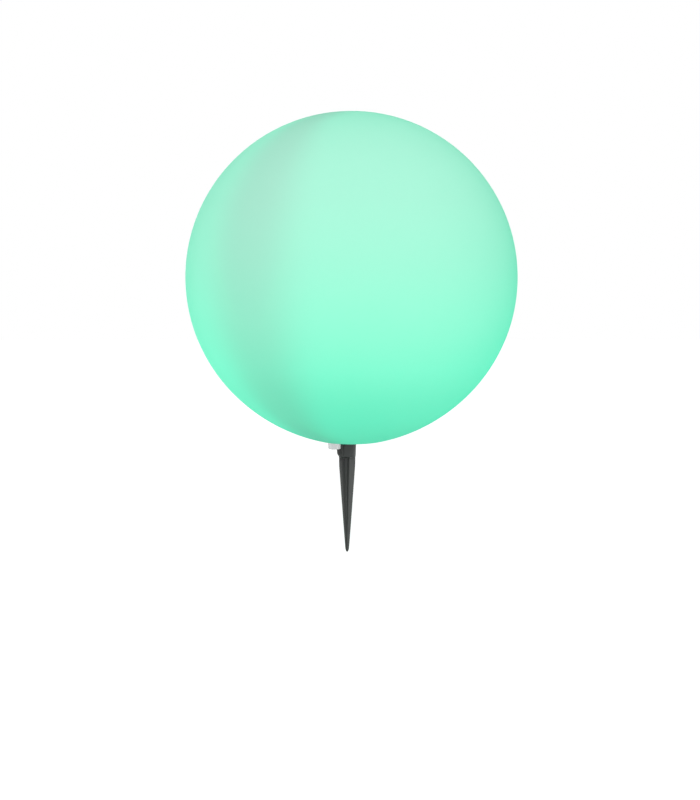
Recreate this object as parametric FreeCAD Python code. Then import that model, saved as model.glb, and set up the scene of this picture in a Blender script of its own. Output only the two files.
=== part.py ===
import FreeCAD, Part
import os
from math import cos, radians, sin, sqrt

# Garden globe light, in millimetres, +Z up.
# The origin is on the ground spike's axis at ground level, where the collar's foot meets the soil.
# The globe's axis stands a little to the right (+X) of the spike's, which leaves room for the button.

# Globe: a rotomoulded opal ball, drawn down on a larger arc to a small flat face at the bottom
GLOBE_DIAMETER = 400.0
GLOBE_OFFSET = 5.3
SHELL_WALL = 2.8
DRAWN_EXTRA_RADIUS = 12.0
DRAWN_START_ANGLE = 45.0
RIM_WIDTH = 1.5
OPENING_GAP = 0.6
FLANGE_WIDTH = 6.3
FLANGE_THICKNESS = 6.5

# Base cover and its gasket
COVER_THICKNESS = 3.0
COVER_GAP = 0.3
COVER_EDGE_CHAMFER = 0.6
GASKET_THICKNESS = 1.0
GASKET_MARGIN = 0.5
SEAL_THICKNESS = 0.8

# Screws: shank radius, head radius and head height of each size
FIT_CLEARANCE = 0.03
SHANK_CLEARANCE = 0.2
HEAD_CLEARANCE = 0.25
DRIVE_RECESS_RADIUS = 0.9
DRIVE_RECESS_DEPTH = 0.9
SMALL_SHANK_RADIUS = 1.25
SMALL_HEAD_RADIUS = 2.2
SMALL_HEAD_HEIGHT = 1.4
LARGE_SHANK_RADIUS = 1.5
LARGE_HEAD_RADIUS = 2.7
LARGE_HEAD_HEIGHT = 1.6
SCREW_LENGTH = 8.0

COVER_SCREW_COUNT = 6
COVER_SCREW_INSET = 3.0
INSERT_RADIUS = 2.2
INSERT_LENGTH = 5.2
SOCKET_SCREW_COUNT = 4
SOCKET_SCREW_CIRCLE = 16.0

# Ground spike
STEM_RADIUS = 7.0
STEM_TOP = 37.5
STEM_BORE_RADIUS = 5.0
STEM_BORE_FLOOR = 2.0
STEM_CHAMFER = 1.0
SHOULDER_RADIUS = 10.3
SHOULDER_THICKNESS = 1.2
FIN_THICKNESS = 2.4
FIN_TURN_ANGLE = 20.0
FIN_SIDE_LENGTH = 6.0
FIN_HIP_RADIUS = 10.1
FIN_HIP_DEPTH = 12.0
FIN_TOE_RADIUS = 2.5
SPIKE_DEPTH = 117.0
NOSE_MIDDLE_RADIUS = 1.75
NOSE_LENGTH = 6.0
NOSE_MIDDLE_HEIGHT = 2.4
CORE_TOP_RADIUS = 4.6
CORE_TOE_RADIUS = 1.5
LUG_RADIUS = 8.6
LUG_HEIGHT = 3.1
LUG_SPAN = 40.0
LUG_ANGLES = (0.0, 180.0)
KEY_WIDTH = 2.0
KEY_RADIUS = 7.7
KEY_LENGTH = 12.0

# Locking collar
COLLAR_HEIGHT = 21.0
COLLAR_END_GAP = 0.3
COLLAR_FOOT_RADIUS = 10.5
COLLAR_TOP_RADIUS = 11.2
COLLAR_LIP_HEIGHT = 2.5
COLLAR_FOOT_CHAMFER = 0.4
LUG_GAP = 0.3
LUG_SIDE_GAP = 3.0
RUNNING_GAP = 0.25
GRIP_RADIUS = 12.8
GRIP_BULGE_RADIUS = 12.15
GRIP_BULGE_HEIGHT = 1.8
GRIP_CORNER_HEIGHT = 5.0
GRIP_HEIGHT = 18.5
GRIP_TOP_HEIGHT = 2.0
GRIP_START_ANGLE = 184.0
GRIP_END_ANGLE = 245.7
GRIP_GROOVE_COUNT = 6
GRIP_GROOVE_RADIUS = 0.75

# Spike socket
SOCKET_FIT = 0.08
SOCKET_WALL = 1.7
SOCKET_ROOF = 2.0
STEM_HEADROOM = 0.5
SOCKET_FLANGE_RADIUS = 11.3
SOCKET_FLANGE_THICKNESS = 4.0
SOCKET_LOBE_RADIUS = 4.2
BEAD_HEIGHT = 0.6
BEAD_WIDTH = 2.0
BEAD_LEVEL = 13.0

# Button and switch
BUTTON_X = -15.05
BUTTON_Y = -15.0
BUTTON_RADIUS = 7.75
BUTTON_REACH = 10.0
BUTTON_EDGE_RADIUS = 1.15
BUTTON_SLIDE_GAP = 0.25
BUTTON_FLANGE_RADIUS = 8.5
BUTTON_FLANGE_THICKNESS = 1.5
BUTTON_FLANGE_GAP = 0.22
BUTTON_STUB_RADIUS = 2.4
BUTTON_TRAVEL = 1.5
O_RING_SECTION = 0.5
O_RING_GROOVE = 0.4
PLUNGER_RADIUS = 1.7
PLUNGER_GAP = 0.1
SWITCH_SIZE = 10.0
SWITCH_HEIGHT = 4.0
SWITCH_STANDOFF = 3.0
SWITCH_WALL = 1.0

# Charging port
PORT_X = 27.9
PORT_Y = 8.2
PORT_RADIUS = 5.2
PLUG_GAP = 0.08
PLUG_FLANGE_RADIUS = 7.0
PLUG_FLANGE_THICKNESS = 1.6
PLUG_TAB_RADIUS = 3.0
USB_WIDTH = 9.0
USB_DEPTH = 3.3
USB_WALL = 0.3
USB_TONGUE_WIDTH = 6.7
USB_TONGUE_THICKNESS = 0.7
USB_TONGUE_SETBACK = 1.0
USB_CAVITY_DEPTH = 6.5
USB_MOUTH_GAP = 0.4

# Service board, which carries the switch and the charging socket
BOARD_THICKNESS = 1.6
SERVICE_BOARD_GAP = 3.0
SERVICE_BOARD_HOLE_GAP = 1.6
SERVICE_POST_INSET = 8.0
SERVICE_POST_RADIUS = 2.9
SERVICE_POST_ANGLES = (105.0, 255.0, 335.0)

# Module housing
HOUSING_WALL = 1.6
HOUSING_HEADROOM = 10.0
COLUMN_INSET = 3.0
COLUMN_RADIUS = 3.4
COLUMN_ANGLES = (60.0, 180.0, 300.0)
COLUMN_NOTCH_GAP = 0.4
LEDGE_WIDTH = 4.0
LEDGE_THICKNESS = 1.5
DOME_BOSS_INSET = 2.0
DOME_BOSS_LENGTH = 14.0
DOME_BOSS_RADIUS = 2.9
CELL_ANGLES = (0.0, 120.0, 240.0)

# Battery
CELL_RADIUS = 9.1
CELL_LENGTH = 65.0
CELL_INSET = 13.0
CELL_FIT = 0.15
CELL_NUB_RADIUS = 3.0
CELL_NUB_HEIGHT = 0.8
STRIP_THICKNESS = 0.3
STRIP_WIDTH = 8.0
STRIP_START = 7.0
STRIP_OVERHANG = 3.0
CRADLE_FLOOR_GAP = 1.6
CRADLE_GAP = 1.0
CRADLE_PLATE = 2.0
CRADLE_POST_RADIUS = 5.0
CRADLE_CUP_HEIGHT = 5.0
CRADLE_CUP_WALL = 1.1
FOAM_RADIUS = 8.5
FOAM_THICKNESS = 6.8

# Driver board and its components
DRIVER_GAP = 5.5
DRIVER_EAR_RADIUS = 2.9
COMPONENT_CIRCLE = 16.0
CHIP_ANGLE = 150.0
INDUCTOR_ANGLE = 210.0
CAPACITOR_ANGLES = (255.0, 285.0)
CHIP_SIZE = 7.0
CHIP_HEIGHT = 1.2
TRANSISTOR_WIDTH = 6.0
TRANSISTOR_DEPTH = 5.0
TRANSISTOR_PITCH = 8.0
TRANSISTOR_COUNT = 3
TRANSISTOR_ROW = 17.0
INDUCTOR_SIZE = 8.0
INDUCTOR_HEIGHT = 4.0
INDUCTOR_CORE_RADIUS = 3.6
CAPACITOR_RADIUS = 3.0
CAPACITOR_HEIGHT = 5.5
CONNECTOR_WIDTH = 8.0
CONNECTOR_DEPTH = 5.0
CONNECTOR_HEIGHT = 4.5

# Light source
PLATE_THICKNESS = 3.0
PLATE_HOLE_RADIUS = 4.0
LED_BOARD_GAP = 2.4
LED_SIZE = 5.0
LED_HEIGHT = 1.6
LED_OUTER_COUNT = 12
LED_OUTER_INSET = 7.0
LED_INNER_COUNT = 6
LED_INNER_INSET = 15.5
LED_SCREW_INSET = 2.7
LED_SCREW_ANGLES = (15.0, 135.0, 255.0)
RECEIVER_ANGLE = 75.0
RECEIVER_INSET = 3.0
RECEIVER_WIDTH = 4.0
RECEIVER_DEPTH = 3.0
RECEIVER_HEIGHT = 3.0
DOME_HEAD_GAP = 0.4
DOME_WALL = 2.0
DOME_RISE = 17.0
DOME_FLANGE_THICKNESS = 2.5

# Wires
WIRE_RADIUS = 0.8
WIRE_HOLE_GAP = 0.2
WIRE_PITCH = 2.0
WIRE_BEND = 4.0
WIRE_TAIL = 0.8
BATTERY_WIRE_INSET = 23.5
SERVICE_WIRE_INSET = 4.0
SERVICE_WIRE_ANGLE = 330.0
SERVICE_WIRE_COUNT = 3
LED_WIRE_COUNT = 4
SLOT_CLEARANCE = 0.6

# Sizes and levels that follow from the ones above
BUTTON_CIRCLE = sqrt((BUTTON_X - GLOBE_OFFSET) ** 2 + BUTTON_Y ** 2)
HOUSING_BORE_RADIUS = BUTTON_CIRCLE + BUTTON_FLANGE_RADIUS + BUTTON_FLANGE_GAP
HOUSING_RADIUS = HOUSING_BORE_RADIUS + HOUSING_WALL
OPENING_RADIUS = HOUSING_RADIUS + OPENING_GAP
COVER_SCREW_CIRCLE = OPENING_RADIUS + COVER_SCREW_INSET
RECESS_RADIUS = OPENING_RADIUS + FLANGE_WIDTH
BASE_FACE_RADIUS = RECESS_RADIUS + RIM_WIDTH
SERVICE_BOARD_RADIUS = HOUSING_BORE_RADIUS - SERVICE_BOARD_GAP
SERVICE_POST_CIRCLE = HOUSING_BORE_RADIUS - SERVICE_POST_INSET
SERVICE_WIRE_CIRCLE = HOUSING_BORE_RADIUS - SERVICE_WIRE_INSET
COLUMN_CIRCLE = HOUSING_BORE_RADIUS - COLUMN_INSET
CELL_CIRCLE = HOUSING_BORE_RADIUS - CELL_INSET
BATTERY_WIRE_CIRCLE = HOUSING_BORE_RADIUS - BATTERY_WIRE_INSET
CRADLE_RADIUS = HOUSING_BORE_RADIUS - CRADLE_GAP
DRIVER_RADIUS = HOUSING_BORE_RADIUS - DRIVER_GAP
DOME_BOSS_CIRCLE = HOUSING_BORE_RADIUS - DOME_BOSS_INSET
DOME_RADIUS = DOME_BOSS_CIRCLE - SMALL_HEAD_RADIUS - DOME_HEAD_GAP
LED_BOARD_RADIUS = DOME_RADIUS - DOME_WALL - LED_BOARD_GAP
LED_SCREW_CIRCLE = LED_BOARD_RADIUS - LED_SCREW_INSET
RECEIVER_CIRCLE = LED_BOARD_RADIUS - RECEIVER_INSET
FIN_TOE_DEPTH = SPIKE_DEPTH - NOSE_LENGTH
COVER_RADIUS = RECESS_RADIUS - COVER_GAP
BASE_LEVEL = COLLAR_HEIGHT + 2.0 * COLLAR_END_GAP
COVER_TOP = BASE_LEVEL + COVER_THICKNESS
O_RING_LEVEL = BASE_LEVEL + 0.5 * COVER_THICKNESS
FLANGE_LEVEL = COVER_TOP + GASKET_THICKNESS
COLLAR_LIP_TOP = COLLAR_END_GAP + COLLAR_LIP_HEIGHT
LUG_LEVEL = COLLAR_LIP_TOP + LUG_GAP
LUG_TOP = LUG_LEVEL + LUG_HEIGHT
SOCKET_BORE_RADIUS = STEM_RADIUS + SOCKET_FIT
SOCKET_RADIUS = SOCKET_BORE_RADIUS + SOCKET_WALL
SOCKET_FLANGE_LEVEL = COVER_TOP + SEAL_THICKNESS
COLLAR_BORE_RADIUS = SOCKET_RADIUS + RUNNING_GAP
SWITCH_LEVEL = COVER_TOP + BUTTON_FLANGE_THICKNESS + SWITCH_STANDOFF + BUTTON_TRAVEL
SERVICE_BOARD_LEVEL = SWITCH_LEVEL + SWITCH_HEIGHT
HOUSING_LEVEL = COVER_TOP + SEAL_THICKNESS
SOCKET_BORE_TOP = STEM_TOP + STEM_HEADROOM
SOCKET_TOP = SOCKET_BORE_TOP + SOCKET_ROOF
CRADLE_LEVEL = SOCKET_TOP + CRADLE_FLOOR_GAP
STRIP_LEVEL = CRADLE_LEVEL + CRADLE_PLATE
CELL_LEVEL = STRIP_LEVEL + STRIP_THICKNESS
CELL_TOP = CELL_LEVEL + CELL_LENGTH
UPPER_PLATE_LEVEL = CELL_TOP + STRIP_THICKNESS
CRADLE_TOP = UPPER_PLATE_LEVEL + CRADLE_PLATE
DRIVER_LEVEL = CRADLE_TOP + FOAM_THICKNESS
DRIVER_TOP = DRIVER_LEVEL + BOARD_THICKNESS
HOUSING_TOP = DRIVER_LEVEL + HOUSING_HEADROOM
PLATE_TOP = HOUSING_TOP + PLATE_THICKNESS
LED_BOARD_TOP = PLATE_TOP + BOARD_THICKNESS
COLUMN_TOP = DRIVER_LEVEL
SERVICE_CONNECTOR_CIRCLE = DRIVER_RADIUS - 0.5 * CONNECTOR_DEPTH - WIRE_BEND

GLOBE_RADIUS = 0.5 * GLOBE_DIAMETER
DRAWN_RADIUS = GLOBE_RADIUS + DRAWN_EXTRA_RADIUS
DRAWN_CENTRE_R = -DRAWN_EXTRA_RADIUS * sin(radians(DRAWN_START_ANGLE))
DRAWN_CENTRE_Z = DRAWN_EXTRA_RADIUS * cos(radians(DRAWN_START_ANGLE))


def drawn_drop(radius, r):
    """How far below the globe's centre the drawn arc of this radius lies at r from the axis."""
    return sqrt(radius ** 2 - (r - DRAWN_CENTRE_R) ** 2) - DRAWN_CENTRE_Z


GLOBE_LEVEL = BASE_LEVEL + drawn_drop(DRAWN_RADIUS, BASE_FACE_RADIUS)
DIAGONAL = sqrt(0.5)
UP = FreeCAD.Vector(0, 0, 1)
SPIKE_AXIS = FreeCAD.Vector(0, 0, 0)
GLOBE_AXIS = FreeCAD.Vector(GLOBE_OFFSET, 0, 0)
BUTTON_AXIS = FreeCAD.Vector(BUTTON_X, BUTTON_Y, 0)
PORT_AXIS = FreeCAD.Vector(PORT_X, PORT_Y, 0)


def polar(axis, radius, angle):
    """A point at this radius and angle about a vertical axis."""
    return axis + FreeCAD.Vector(radius * cos(radians(angle)), radius * sin(radians(angle)), 0)


def ring_of(axis, radius, count, start=0.0):
    """Evenly spaced points on a circle about a vertical axis."""
    return [polar(axis, radius, start + 360.0 * i / count) for i in range(count)]


def rod(place, radius, low, high):
    """A vertical round bar."""
    return Part.makeCylinder(radius, high - low, FreeCAD.Vector(place.x, place.y, low))


def pipe(place, radius, bore, low, high):
    """A vertical round tube."""
    return rod(place, radius, low, high).cut(rod(place, bore, low, high))


def block(place, width, depth, low, high):
    """An upright box centred on a point."""
    corner = FreeCAD.Vector(place.x - 0.5 * width, place.y - 0.5 * depth, low)
    return Part.makeBox(width, depth, high - low, corner)


def turned(edges, axis, sweep=360.0):
    """A solid turned about a vertical axis from edges drawn in the XZ plane about the origin."""
    face = Part.Face(Part.Wire(edges))
    solid = face.revolve(SPIKE_AXIS, UP, sweep)
    solid.translate(axis)
    return solid


def outline(points):
    """Straight edges through (r, z) points, closed."""
    corners = [FreeCAD.Vector(r, 0, z) for r, z in points]
    return [Part.makeLine(a, b) for a, b in zip(corners, corners[1:] + corners[:1])]


def sector(edges, axis, start, end):
    """A solid turned through part of a circle."""
    solid = turned(edges, SPIKE_AXIS, end - start)
    solid.rotate(SPIKE_AXIS, UP, start)
    solid.translate(axis)
    return solid


def arc_edge(a, middle, b):
    """An arc through three (r, z) points."""
    points = [FreeCAD.Vector(r, 0, z) for r, z in (a, middle, b)]
    return Part.Arc(*points).toShape()


def line_edge(a, b):
    """A straight edge between two (r, z) points."""
    return Part.makeLine(FreeCAD.Vector(a[0], 0, a[1]), FreeCAD.Vector(b[0], 0, b[1]))


def joined(solids):
    """Touching or crossing shapes made one solid."""
    return solids[0].multiFuse(solids[1:]).removeSplitter()


def group(solids):
    """Separate solids of one kind kept in one node."""
    return Part.makeCompound(solids)


def screw(place, seat, shank_radius, head_radius, head_height, length, driven_down=False):
    """A pan-head screw, the inner face of its head at the seat."""
    head = rod(place, head_radius, 0.0, head_height)
    head.translate(FreeCAD.Vector(0, 0, -head_height))
    shank = rod(place, shank_radius, 0.0, length)
    recess = rod(place, DRIVE_RECESS_RADIUS, -head_height, DRIVE_RECESS_DEPTH - head_height)
    body = joined([head, shank]).cut(recess)
    if driven_down:
        body.rotate(FreeCAD.Vector(place.x, place.y, 0), FreeCAD.Vector(1, 0, 0), 180.0)
    body.translate(FreeCAD.Vector(0, 0, seat))
    return body


def cover_screw_places():
    return ring_of(GLOBE_AXIS, COVER_SCREW_CIRCLE, COVER_SCREW_COUNT, 180.0 / COVER_SCREW_COUNT)


def socket_screw_places():
    return ring_of(SPIKE_AXIS, SOCKET_SCREW_CIRCLE, SOCKET_SCREW_COUNT)


def column_places():
    return [polar(GLOBE_AXIS, COLUMN_CIRCLE, angle) for angle in COLUMN_ANGLES]


def service_post_places():
    return [polar(GLOBE_AXIS, SERVICE_POST_CIRCLE, angle) for angle in SERVICE_POST_ANGLES]


def dome_screw_places():
    return [polar(GLOBE_AXIS, DOME_BOSS_CIRCLE, angle) for angle in CELL_ANGLES]


def led_screw_places():
    return [polar(GLOBE_AXIS, LED_SCREW_CIRCLE, angle) for angle in LED_SCREW_ANGLES]


def cell_places():
    return [polar(GLOBE_AXIS, CELL_CIRCLE, angle) for angle in CELL_ANGLES]


def led_wire_places():
    return ring_of(GLOBE_AXIS, WIRE_PITCH, LED_WIRE_COUNT)


def battery_wire_places():
    """The wire from the lower strip, between two cells, and the one from the upper strip."""
    lower = polar(GLOBE_AXIS, BATTERY_WIRE_CIRCLE, COLUMN_ANGLES[0])
    upper = polar(GLOBE_AXIS, BATTERY_WIRE_CIRCLE, CELL_ANGLES[0])
    return lower, upper


def globe_shell():
    """The ball: sphere, drawn lower part, flat rim, recess for the cover and inward flange."""
    start = radians(DRAWN_START_ANGLE)
    face = drawn_drop(DRAWN_RADIUS, BASE_FACE_RADIUS)
    inner_radius = GLOBE_RADIUS - SHELL_WALL
    inner_drawn = DRAWN_RADIUS - SHELL_WALL
    flange_outer = RECESS_RADIUS + SHELL_WALL
    flange_low = FLANGE_LEVEL - BASE_LEVEL - face
    flange_high = flange_low + FLANGE_THICKNESS
    middle_r = 0.5 * (GLOBE_RADIUS * sin(start) + BASE_FACE_RADIUS)
    tangent = (GLOBE_RADIUS * sin(start), -GLOBE_RADIUS * cos(start))
    inner_tangent = (inner_radius * sin(start), -inner_radius * cos(start))
    rim = (BASE_FACE_RADIUS, -face)
    inner_foot = (flange_outer, -drawn_drop(inner_drawn, flange_outer))
    straight = [rim, (RECESS_RADIUS, -face), (RECESS_RADIUS, flange_low), (OPENING_RADIUS, flange_low),
                (OPENING_RADIUS, flange_high), (flange_outer, flange_high), inner_foot]
    edges = [arc_edge((0, GLOBE_RADIUS), (GLOBE_RADIUS, 0), tangent)]
    edges.append(arc_edge(tangent, (middle_r, -drawn_drop(DRAWN_RADIUS, middle_r)), rim))
    edges += [line_edge(a, b) for a, b in zip(straight, straight[1:])]
    edges.append(arc_edge(inner_foot, (middle_r, -drawn_drop(inner_drawn, middle_r)), inner_tangent))
    edges.append(arc_edge(inner_tangent, (inner_radius, 0), (0, inner_radius)))
    edges.append(line_edge((0, inner_radius), (0, GLOBE_RADIUS)))
    shell = turned(edges, GLOBE_AXIS + UP * GLOBE_LEVEL)
    holes = [rod(place, INSERT_RADIUS, FLANGE_LEVEL, FLANGE_LEVEL + INSERT_LENGTH)
             for place in cover_screw_places()]
    return shell.cut(group(holes))


def threaded_inserts():
    """Brass inserts set in the flange, open at the bottom for the cover screws."""
    inserts = []
    for place in cover_screw_places():
        outer = rod(place, INSERT_RADIUS - FIT_CLEARANCE, FLANGE_LEVEL, FLANGE_LEVEL + INSERT_LENGTH)
        bore = rod(place, SMALL_SHANK_RADIUS + FIT_CLEARANCE, FLANGE_LEVEL, FLANGE_LEVEL + INSERT_LENGTH)
        inserts.append(outer.cut(bore))
    return group(inserts)


def base_gasket():
    """Flat gasket between the cover and the flange, with a hole for each cover screw."""
    ring = pipe(GLOBE_AXIS, COVER_RADIUS - GASKET_MARGIN, OPENING_RADIUS + GASKET_MARGIN,
                COVER_TOP, FLANGE_LEVEL)
    holes = [rod(place, SMALL_SHANK_RADIUS + SHANK_CLEARANCE, COVER_TOP, FLANGE_LEVEL)
             for place in cover_screw_places()]
    return ring.cut(group(holes))


def counterbored(place, shank_radius, head_radius, head_height):
    """The hole through the cover for one screw, with room for its head."""
    through = rod(place, shank_radius + SHANK_CLEARANCE, BASE_LEVEL, COVER_TOP)
    head_room = rod(place, head_radius + HEAD_CLEARANCE, BASE_LEVEL, BASE_LEVEL + head_height)
    return through.fuse(head_room)


def base_cover():
    """Round cover with holes for the spike socket, button, port and screws, and board posts."""
    low_radius = COVER_RADIUS - COVER_EDGE_CHAMFER
    profile = outline([(0, BASE_LEVEL), (low_radius, BASE_LEVEL),
                       (COVER_RADIUS, BASE_LEVEL + COVER_EDGE_CHAMFER), (COVER_RADIUS, COVER_TOP),
                       (0, COVER_TOP)])
    cover = turned(profile, GLOBE_AXIS)
    posts = [rod(place, SERVICE_POST_RADIUS, COVER_TOP, SERVICE_BOARD_LEVEL)
             for place in service_post_places()]
    pilots = [rod(place, SMALL_SHANK_RADIUS + FIT_CLEARANCE, COVER_TOP, SERVICE_BOARD_LEVEL)
              for place in service_post_places()]
    holes = [rod(SPIKE_AXIS, SOCKET_RADIUS + FIT_CLEARANCE, BASE_LEVEL, COVER_TOP)]
    holes.append(rod(BUTTON_AXIS, BUTTON_RADIUS + BUTTON_SLIDE_GAP, BASE_LEVEL, COVER_TOP))
    holes.append(rod(PORT_AXIS, PORT_RADIUS, BASE_LEVEL, COVER_TOP))
    holes += [counterbored(place, SMALL_SHANK_RADIUS, SMALL_HEAD_RADIUS, SMALL_HEAD_HEIGHT)
              for place in cover_screw_places()]
    holes += [counterbored(place, LARGE_SHANK_RADIUS, LARGE_HEAD_RADIUS, LARGE_HEAD_HEIGHT)
              for place in socket_screw_places() + column_places()]
    return joined([cover] + posts).cut(group(pilots)).cut(group(holes))


def cover_screws():
    seat = BASE_LEVEL + SMALL_HEAD_HEIGHT
    return group([screw(place, seat, SMALL_SHANK_RADIUS, SMALL_HEAD_RADIUS, SMALL_HEAD_HEIGHT,
                        SCREW_LENGTH - SMALL_HEAD_HEIGHT) for place in cover_screw_places()])


def large_screws(places):
    """Screws that come up through the cover from below."""
    seat = BASE_LEVEL + LARGE_HEAD_HEIGHT
    reach = SOCKET_FLANGE_LEVEL + SOCKET_FLANGE_THICKNESS - STEM_CHAMFER - seat
    return group([screw(place, seat, LARGE_SHANK_RADIUS, LARGE_HEAD_RADIUS, LARGE_HEAD_HEIGHT, reach)
                  for place in places])


def ground_spike():
    """Round stem with two lugs and a key, shoulder, cone core and four tapering fins."""
    side = [(0, -SHOULDER_THICKNESS), (SHOULDER_RADIUS, -SHOULDER_THICKNESS),
            (SHOULDER_RADIUS, -FIN_SIDE_LENGTH), (FIN_HIP_RADIUS, -FIN_HIP_DEPTH),
            (FIN_TOE_RADIUS, -FIN_TOE_DEPTH)]
    edges = [line_edge(a, b) for a, b in zip(side, side[1:])]
    nose_middle = (NOSE_MIDDLE_RADIUS, NOSE_MIDDLE_HEIGHT - SPIKE_DEPTH)
    edges.append(arc_edge(side[-1], nose_middle, (0, -SPIKE_DEPTH)))
    edges.append(line_edge((0, -SPIKE_DEPTH), side[0]))
    envelope = turned(edges, SPIKE_AXIS)
    width = 2.0 * SHOULDER_RADIUS
    blades = joined([block(SPIKE_AXIS, width, FIN_THICKNESS, -SPIKE_DEPTH, -SHOULDER_THICKNESS),
                     block(SPIKE_AXIS, FIN_THICKNESS, width, -SPIKE_DEPTH, -SHOULDER_THICKNESS)])
    blades.rotate(SPIKE_AXIS, UP, FIN_TURN_ANGLE)
    core = turned(outline([(0, -SHOULDER_THICKNESS), (CORE_TOP_RADIUS, -SHOULDER_THICKNESS),
                           (CORE_TOE_RADIUS, -FIN_TOE_DEPTH), (0, -FIN_TOE_DEPTH)]), SPIKE_AXIS)
    shoulder = rod(SPIKE_AXIS, SHOULDER_RADIUS, -SHOULDER_THICKNESS, 0.0)
    chamfer_low = STEM_TOP - STEM_CHAMFER
    stem = turned(outline([(0, 0), (STEM_RADIUS, 0), (STEM_RADIUS, chamfer_low),
                           (STEM_RADIUS - STEM_CHAMFER, STEM_TOP), (0, STEM_TOP)]), SPIKE_AXIS)
    lug_profile = outline([(STEM_BORE_RADIUS, LUG_LEVEL), (LUG_RADIUS, LUG_LEVEL),
                           (LUG_RADIUS, LUG_TOP), (STEM_BORE_RADIUS, LUG_TOP)])
    lugs = [sector(lug_profile, SPIKE_AXIS, angle - 0.5 * LUG_SPAN, angle + 0.5 * LUG_SPAN)
            for angle in LUG_ANGLES]
    key_middle = FreeCAD.Vector(0.5 * (STEM_BORE_RADIUS + KEY_RADIUS), 0, 0)
    key = block(key_middle, KEY_RADIUS - STEM_BORE_RADIUS, KEY_WIDTH,
                chamfer_low - KEY_LENGTH, chamfer_low)
    bore = rod(SPIKE_AXIS, STEM_BORE_RADIUS, STEM_BORE_FLOOR, STEM_TOP)
    body = joined([envelope.common(blades), core, shoulder, stem, key] + lugs)
    return body.cut(bore)


def collar_side(level):
    """Outer radius of the collar's smooth side at a level."""
    share = (level - COLLAR_END_GAP) / COLLAR_HEIGHT
    return COLLAR_FOOT_RADIUS + share * (COLLAR_TOP_RADIUS - COLLAR_FOOT_RADIUS)


def thumb_grip():
    """Raised patch on the collar with a rounded foot and upright grooves."""
    foot = COLLAR_END_GAP + COLLAR_FOOT_CHAMFER
    corner = COLLAR_END_GAP + GRIP_CORNER_HEIGHT
    crown = COLLAR_END_GAP + GRIP_HEIGHT
    peak = crown + GRIP_TOP_HEIGHT
    bulge = (GRIP_BULGE_RADIUS, COLLAR_END_GAP + GRIP_BULGE_HEIGHT)
    inside = 0.5 * (COLLAR_BORE_RADIUS + COLLAR_FOOT_RADIUS)
    edges = [line_edge((inside, foot), (collar_side(foot), foot))]
    edges.append(arc_edge((collar_side(foot), foot), bulge, (GRIP_RADIUS, corner)))
    edges.append(line_edge((GRIP_RADIUS, corner), (GRIP_RADIUS, crown)))
    edges.append(line_edge((GRIP_RADIUS, crown), (collar_side(peak), peak)))
    edges.append(line_edge((collar_side(peak), peak), (inside, peak)))
    edges.append(line_edge((inside, peak), (inside, foot)))
    patch = sector(edges, SPIKE_AXIS, GRIP_START_ANGLE, GRIP_END_ANGLE)
    pitch = (GRIP_END_ANGLE - GRIP_START_ANGLE) / (GRIP_GROOVE_COUNT + 1)
    grooves = [rod(polar(SPIKE_AXIS, GRIP_RADIUS, GRIP_START_ANGLE + (i + 1) * pitch),
                   GRIP_GROOVE_RADIUS, foot, peak) for i in range(GRIP_GROOVE_COUNT)]
    return patch.cut(group(grooves))


def locking_collar():
    """Tapered collar that turns on the socket's bead; its lip catches the spike's lugs."""
    top = COLLAR_END_GAP + COLLAR_HEIGHT
    foot = COLLAR_END_GAP + COLLAR_FOOT_CHAMFER
    groove_low = BEAD_LEVEL - COLLAR_END_GAP
    groove_high = BEAD_LEVEL + BEAD_WIDTH + COLLAR_END_GAP
    body = turned(outline([(0, COLLAR_END_GAP), (COLLAR_FOOT_RADIUS - COLLAR_FOOT_CHAMFER, COLLAR_END_GAP),
                           (collar_side(foot), foot), (COLLAR_TOP_RADIUS, top), (0, top)]), SPIKE_AXIS)
    lip_radius = STEM_RADIUS + RUNNING_GAP
    bore = rod(SPIKE_AXIS, COLLAR_BORE_RADIUS, COLLAR_LIP_TOP, top)
    mouth = rod(SPIKE_AXIS, lip_radius, COLLAR_END_GAP, COLLAR_LIP_TOP)
    groove = rod(SPIKE_AXIS, COLLAR_BORE_RADIUS + BEAD_HEIGHT, groove_low, groove_high)
    half_gap = 0.5 * LUG_SPAN + LUG_SIDE_GAP
    gap_profile = outline([(0.5 * lip_radius, COLLAR_END_GAP), (COLLAR_BORE_RADIUS, COLLAR_END_GAP),
                           (COLLAR_BORE_RADIUS, COLLAR_LIP_TOP), (0.5 * lip_radius, COLLAR_LIP_TOP)])
    gaps = [sector(gap_profile, SPIKE_AXIS, angle - half_gap, angle + half_gap) for angle in LUG_ANGLES]
    return joined([body, thumb_grip()]).cut(joined([bore, mouth, groove] + gaps))


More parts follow.
